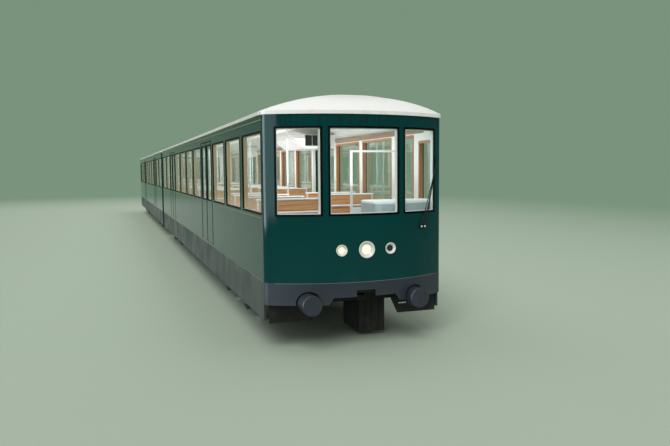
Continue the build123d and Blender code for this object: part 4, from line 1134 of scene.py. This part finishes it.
# Fill lamps inside: half their width, then the height, the way they shine and the power of each
FILL_HALF = 0.9
FILLS = {"down": (2.96, -1, 175.0), "up": (2.1, 1, 110.0)}
FILL_TONE = (0.90, 0.96, 1.0)

# The camera, fitted to the photograph's straight edges
LENS = 34.93
SENSOR_WIDTH = 36.0
CAMERA_PLACE = (-3.09, -23.92, 2.336)
CAMERA_RIGHT = (0.9441, -0.3296, -0.0084)
CAMERA_UP = (0.0345, 0.0733, 0.9967)
CAMERA_AHEAD = (0.3279, 0.9413, -0.0806)


def make_floor():
    """A round floor, pale under the car and as dark as the backdrop far away."""
    material, tree, shader = new_finish("studio floor")
    where = place_on_car(tree)
    x, y = axes_of(tree, where)[:2]
    beyond_nose = maths(tree, "MAXIMUM", maths(tree, "SUBTRACT", maths(tree, "ABSOLUTE", y), -NOSE_Y), 0.0)
    squares = maths(tree, "ADD", maths(tree, "MULTIPLY", x, x), maths(tree, "MULTIPLY", beyond_nose, beyond_nose))
    share = ease(tree, maths(tree, "SQRT", squares), FLOOR_PALE_TO, FLOOR_FADED_BY)
    speckle = ease(tree, noise(tree, where, 0.8, 5.0), 0.2, 0.8, 0.0, 0.04)
    pale = mix_colours(tree, speckle, PALE_FLOOR, (0.4, 0.4, 0.4))
    fit(tree, shader, {"Base Color": mix_colours(tree, share, pale, BACKDROP), "Roughness": 0.9})
    shader.inputs["Specular IOR Level"].default_value = 0.0
    bm = bmesh.new()
    bmesh.ops.create_circle(bm, cap_ends=True, segments=128, radius=FLOOR_REACH)
    mesh = bpy.data.meshes.new("studio_floor")
    bm.to_mesh(mesh)
    bm.free()
    mesh.materials.append(material)
    floor = bpy.data.objects.new("studio_floor", mesh)
    bpy.context.scene.collection.objects.link(floor)


def make_world():
    """An even sky that lights the car, and a plain backdrop for the camera, glass and metal."""
    world = bpy.data.worlds.new("studio")
    world.use_nodes = True
    bpy.context.scene.world = world
    tree = world.node_tree
    rays = put(tree, "ShaderNodeLightPath").outputs
    seen = maths(tree, "MAXIMUM", rays["Is Camera Ray"], rays["Is Glossy Ray"])
    seen = maths(tree, "MAXIMUM", seen, rays["Is Transmission Ray"])
    tone = mix_colours(tree, seen, (AMBIENT, AMBIENT, AMBIENT), BACKDROP)
    wire(tree, tone, tree.nodes["Background"].inputs["Color"])


def make_key_light():
    """One broad, soft lamp from the front left."""
    lamp = bpy.data.lights.new("key", "SUN")
    lamp.energy = KEY_STRENGTH
    lamp.angle = KEY_SPREAD
    key = bpy.data.objects.new("key", lamp)
    key.rotation_mode = "QUATERNION"
    key.rotation_quaternion = Vector(KEY_DIRECTION).to_track_quat("Z", "Y")
    bpy.context.scene.collection.objects.link(key)


def make_area_lamp(name, place, aim, size, power, tone):
    """A rectangular lamp at a place, turned towards a point, that the camera doesn't see."""
    lamp = bpy.data.lights.new(name, "AREA")
    lamp.shape = "RECTANGLE"
    lamp.size, lamp.size_y = size
    lamp.energy = power
    lamp.color = tone
    box = bpy.data.objects.new(name, lamp)
    box.rotation_mode = "QUATERNION"
    box.rotation_quaternion = (aim - place).to_track_quat("-Z", "Y")
    box.location = place
    box.visible_camera = False
    bpy.context.scene.collection.objects.link(box)
    return box


def make_soft_boxes():
    """Long soft lamps on the left, for the pale band down the nose's corner; they spare the sides and the glass."""
    spared = bpy.data.collections.new("spared by the soft boxes")
    for section, _ in SECTIONS:
        for node in SOFT_BOX_SPARES:
            spared.objects.link(bpy.data.objects[f"{section}_{node}"])
    for held in spared.collection_objects:
        held.light_linking.link_state = "EXCLUDE"
    low, high = SOFT_BOX_Z
    for name, (start, end, brightness) in SOFT_BOXES.items():
        place = Vector((SOFT_BOX_X, (start + end) / 2, (low + high) / 2))
        size = (end - start, high - low)
        power = brightness * math.pi * size[0] * size[1]
        box = make_area_lamp(f"{name} soft box", place, place + Vector((1, 0, 0)), size, power, SOFT_TONE)
        box.visible_diffuse = False
        box.visible_transmission = False
        box.light_linking.receiver_collection = spared


def make_cabin_fills():
    """Even out the daylight inside both sections, with no glint of their own."""
    start, end = CORNER_Y + 0.3, BACK_Y - 0.2
    size = (2 * FILL_HALF, end - start)
    for section, turn in SECTIONS:
        for name, (height, way, power) in FILLS.items():
            place = turn @ Vector((0, (start + end) / 2, height))
            aim = place + Vector((0, 0, way))
            fill = make_area_lamp(f"{section} {name} fill", place, aim, size, power, FILL_TONE)
            fill.visible_glossy = False
            fill.visible_transmission = False


def make_camera():
    """Stands in front of the nose, a little to its left and above the windows' sills."""
    data = bpy.data.cameras.new("camera")
    data.lens = LENS
    data.sensor_width = SENSOR_WIDTH
    data.clip_end = 2000
    camera = bpy.data.objects.new("camera", data)
    turn = Matrix((CAMERA_RIGHT, CAMERA_UP, -Vector(CAMERA_AHEAD))).transposed().to_4x4()
    camera.matrix_world = Matrix.Translation(CAMERA_PLACE) @ turn
    bpy.context.scene.collection.objects.link(camera)
    bpy.context.scene.camera = camera


make_floor()
make_world()
make_key_light()
make_soft_boxes()
make_cabin_fills()
make_camera()
bpy.context.scene.view_settings.view_transform = "Standard"
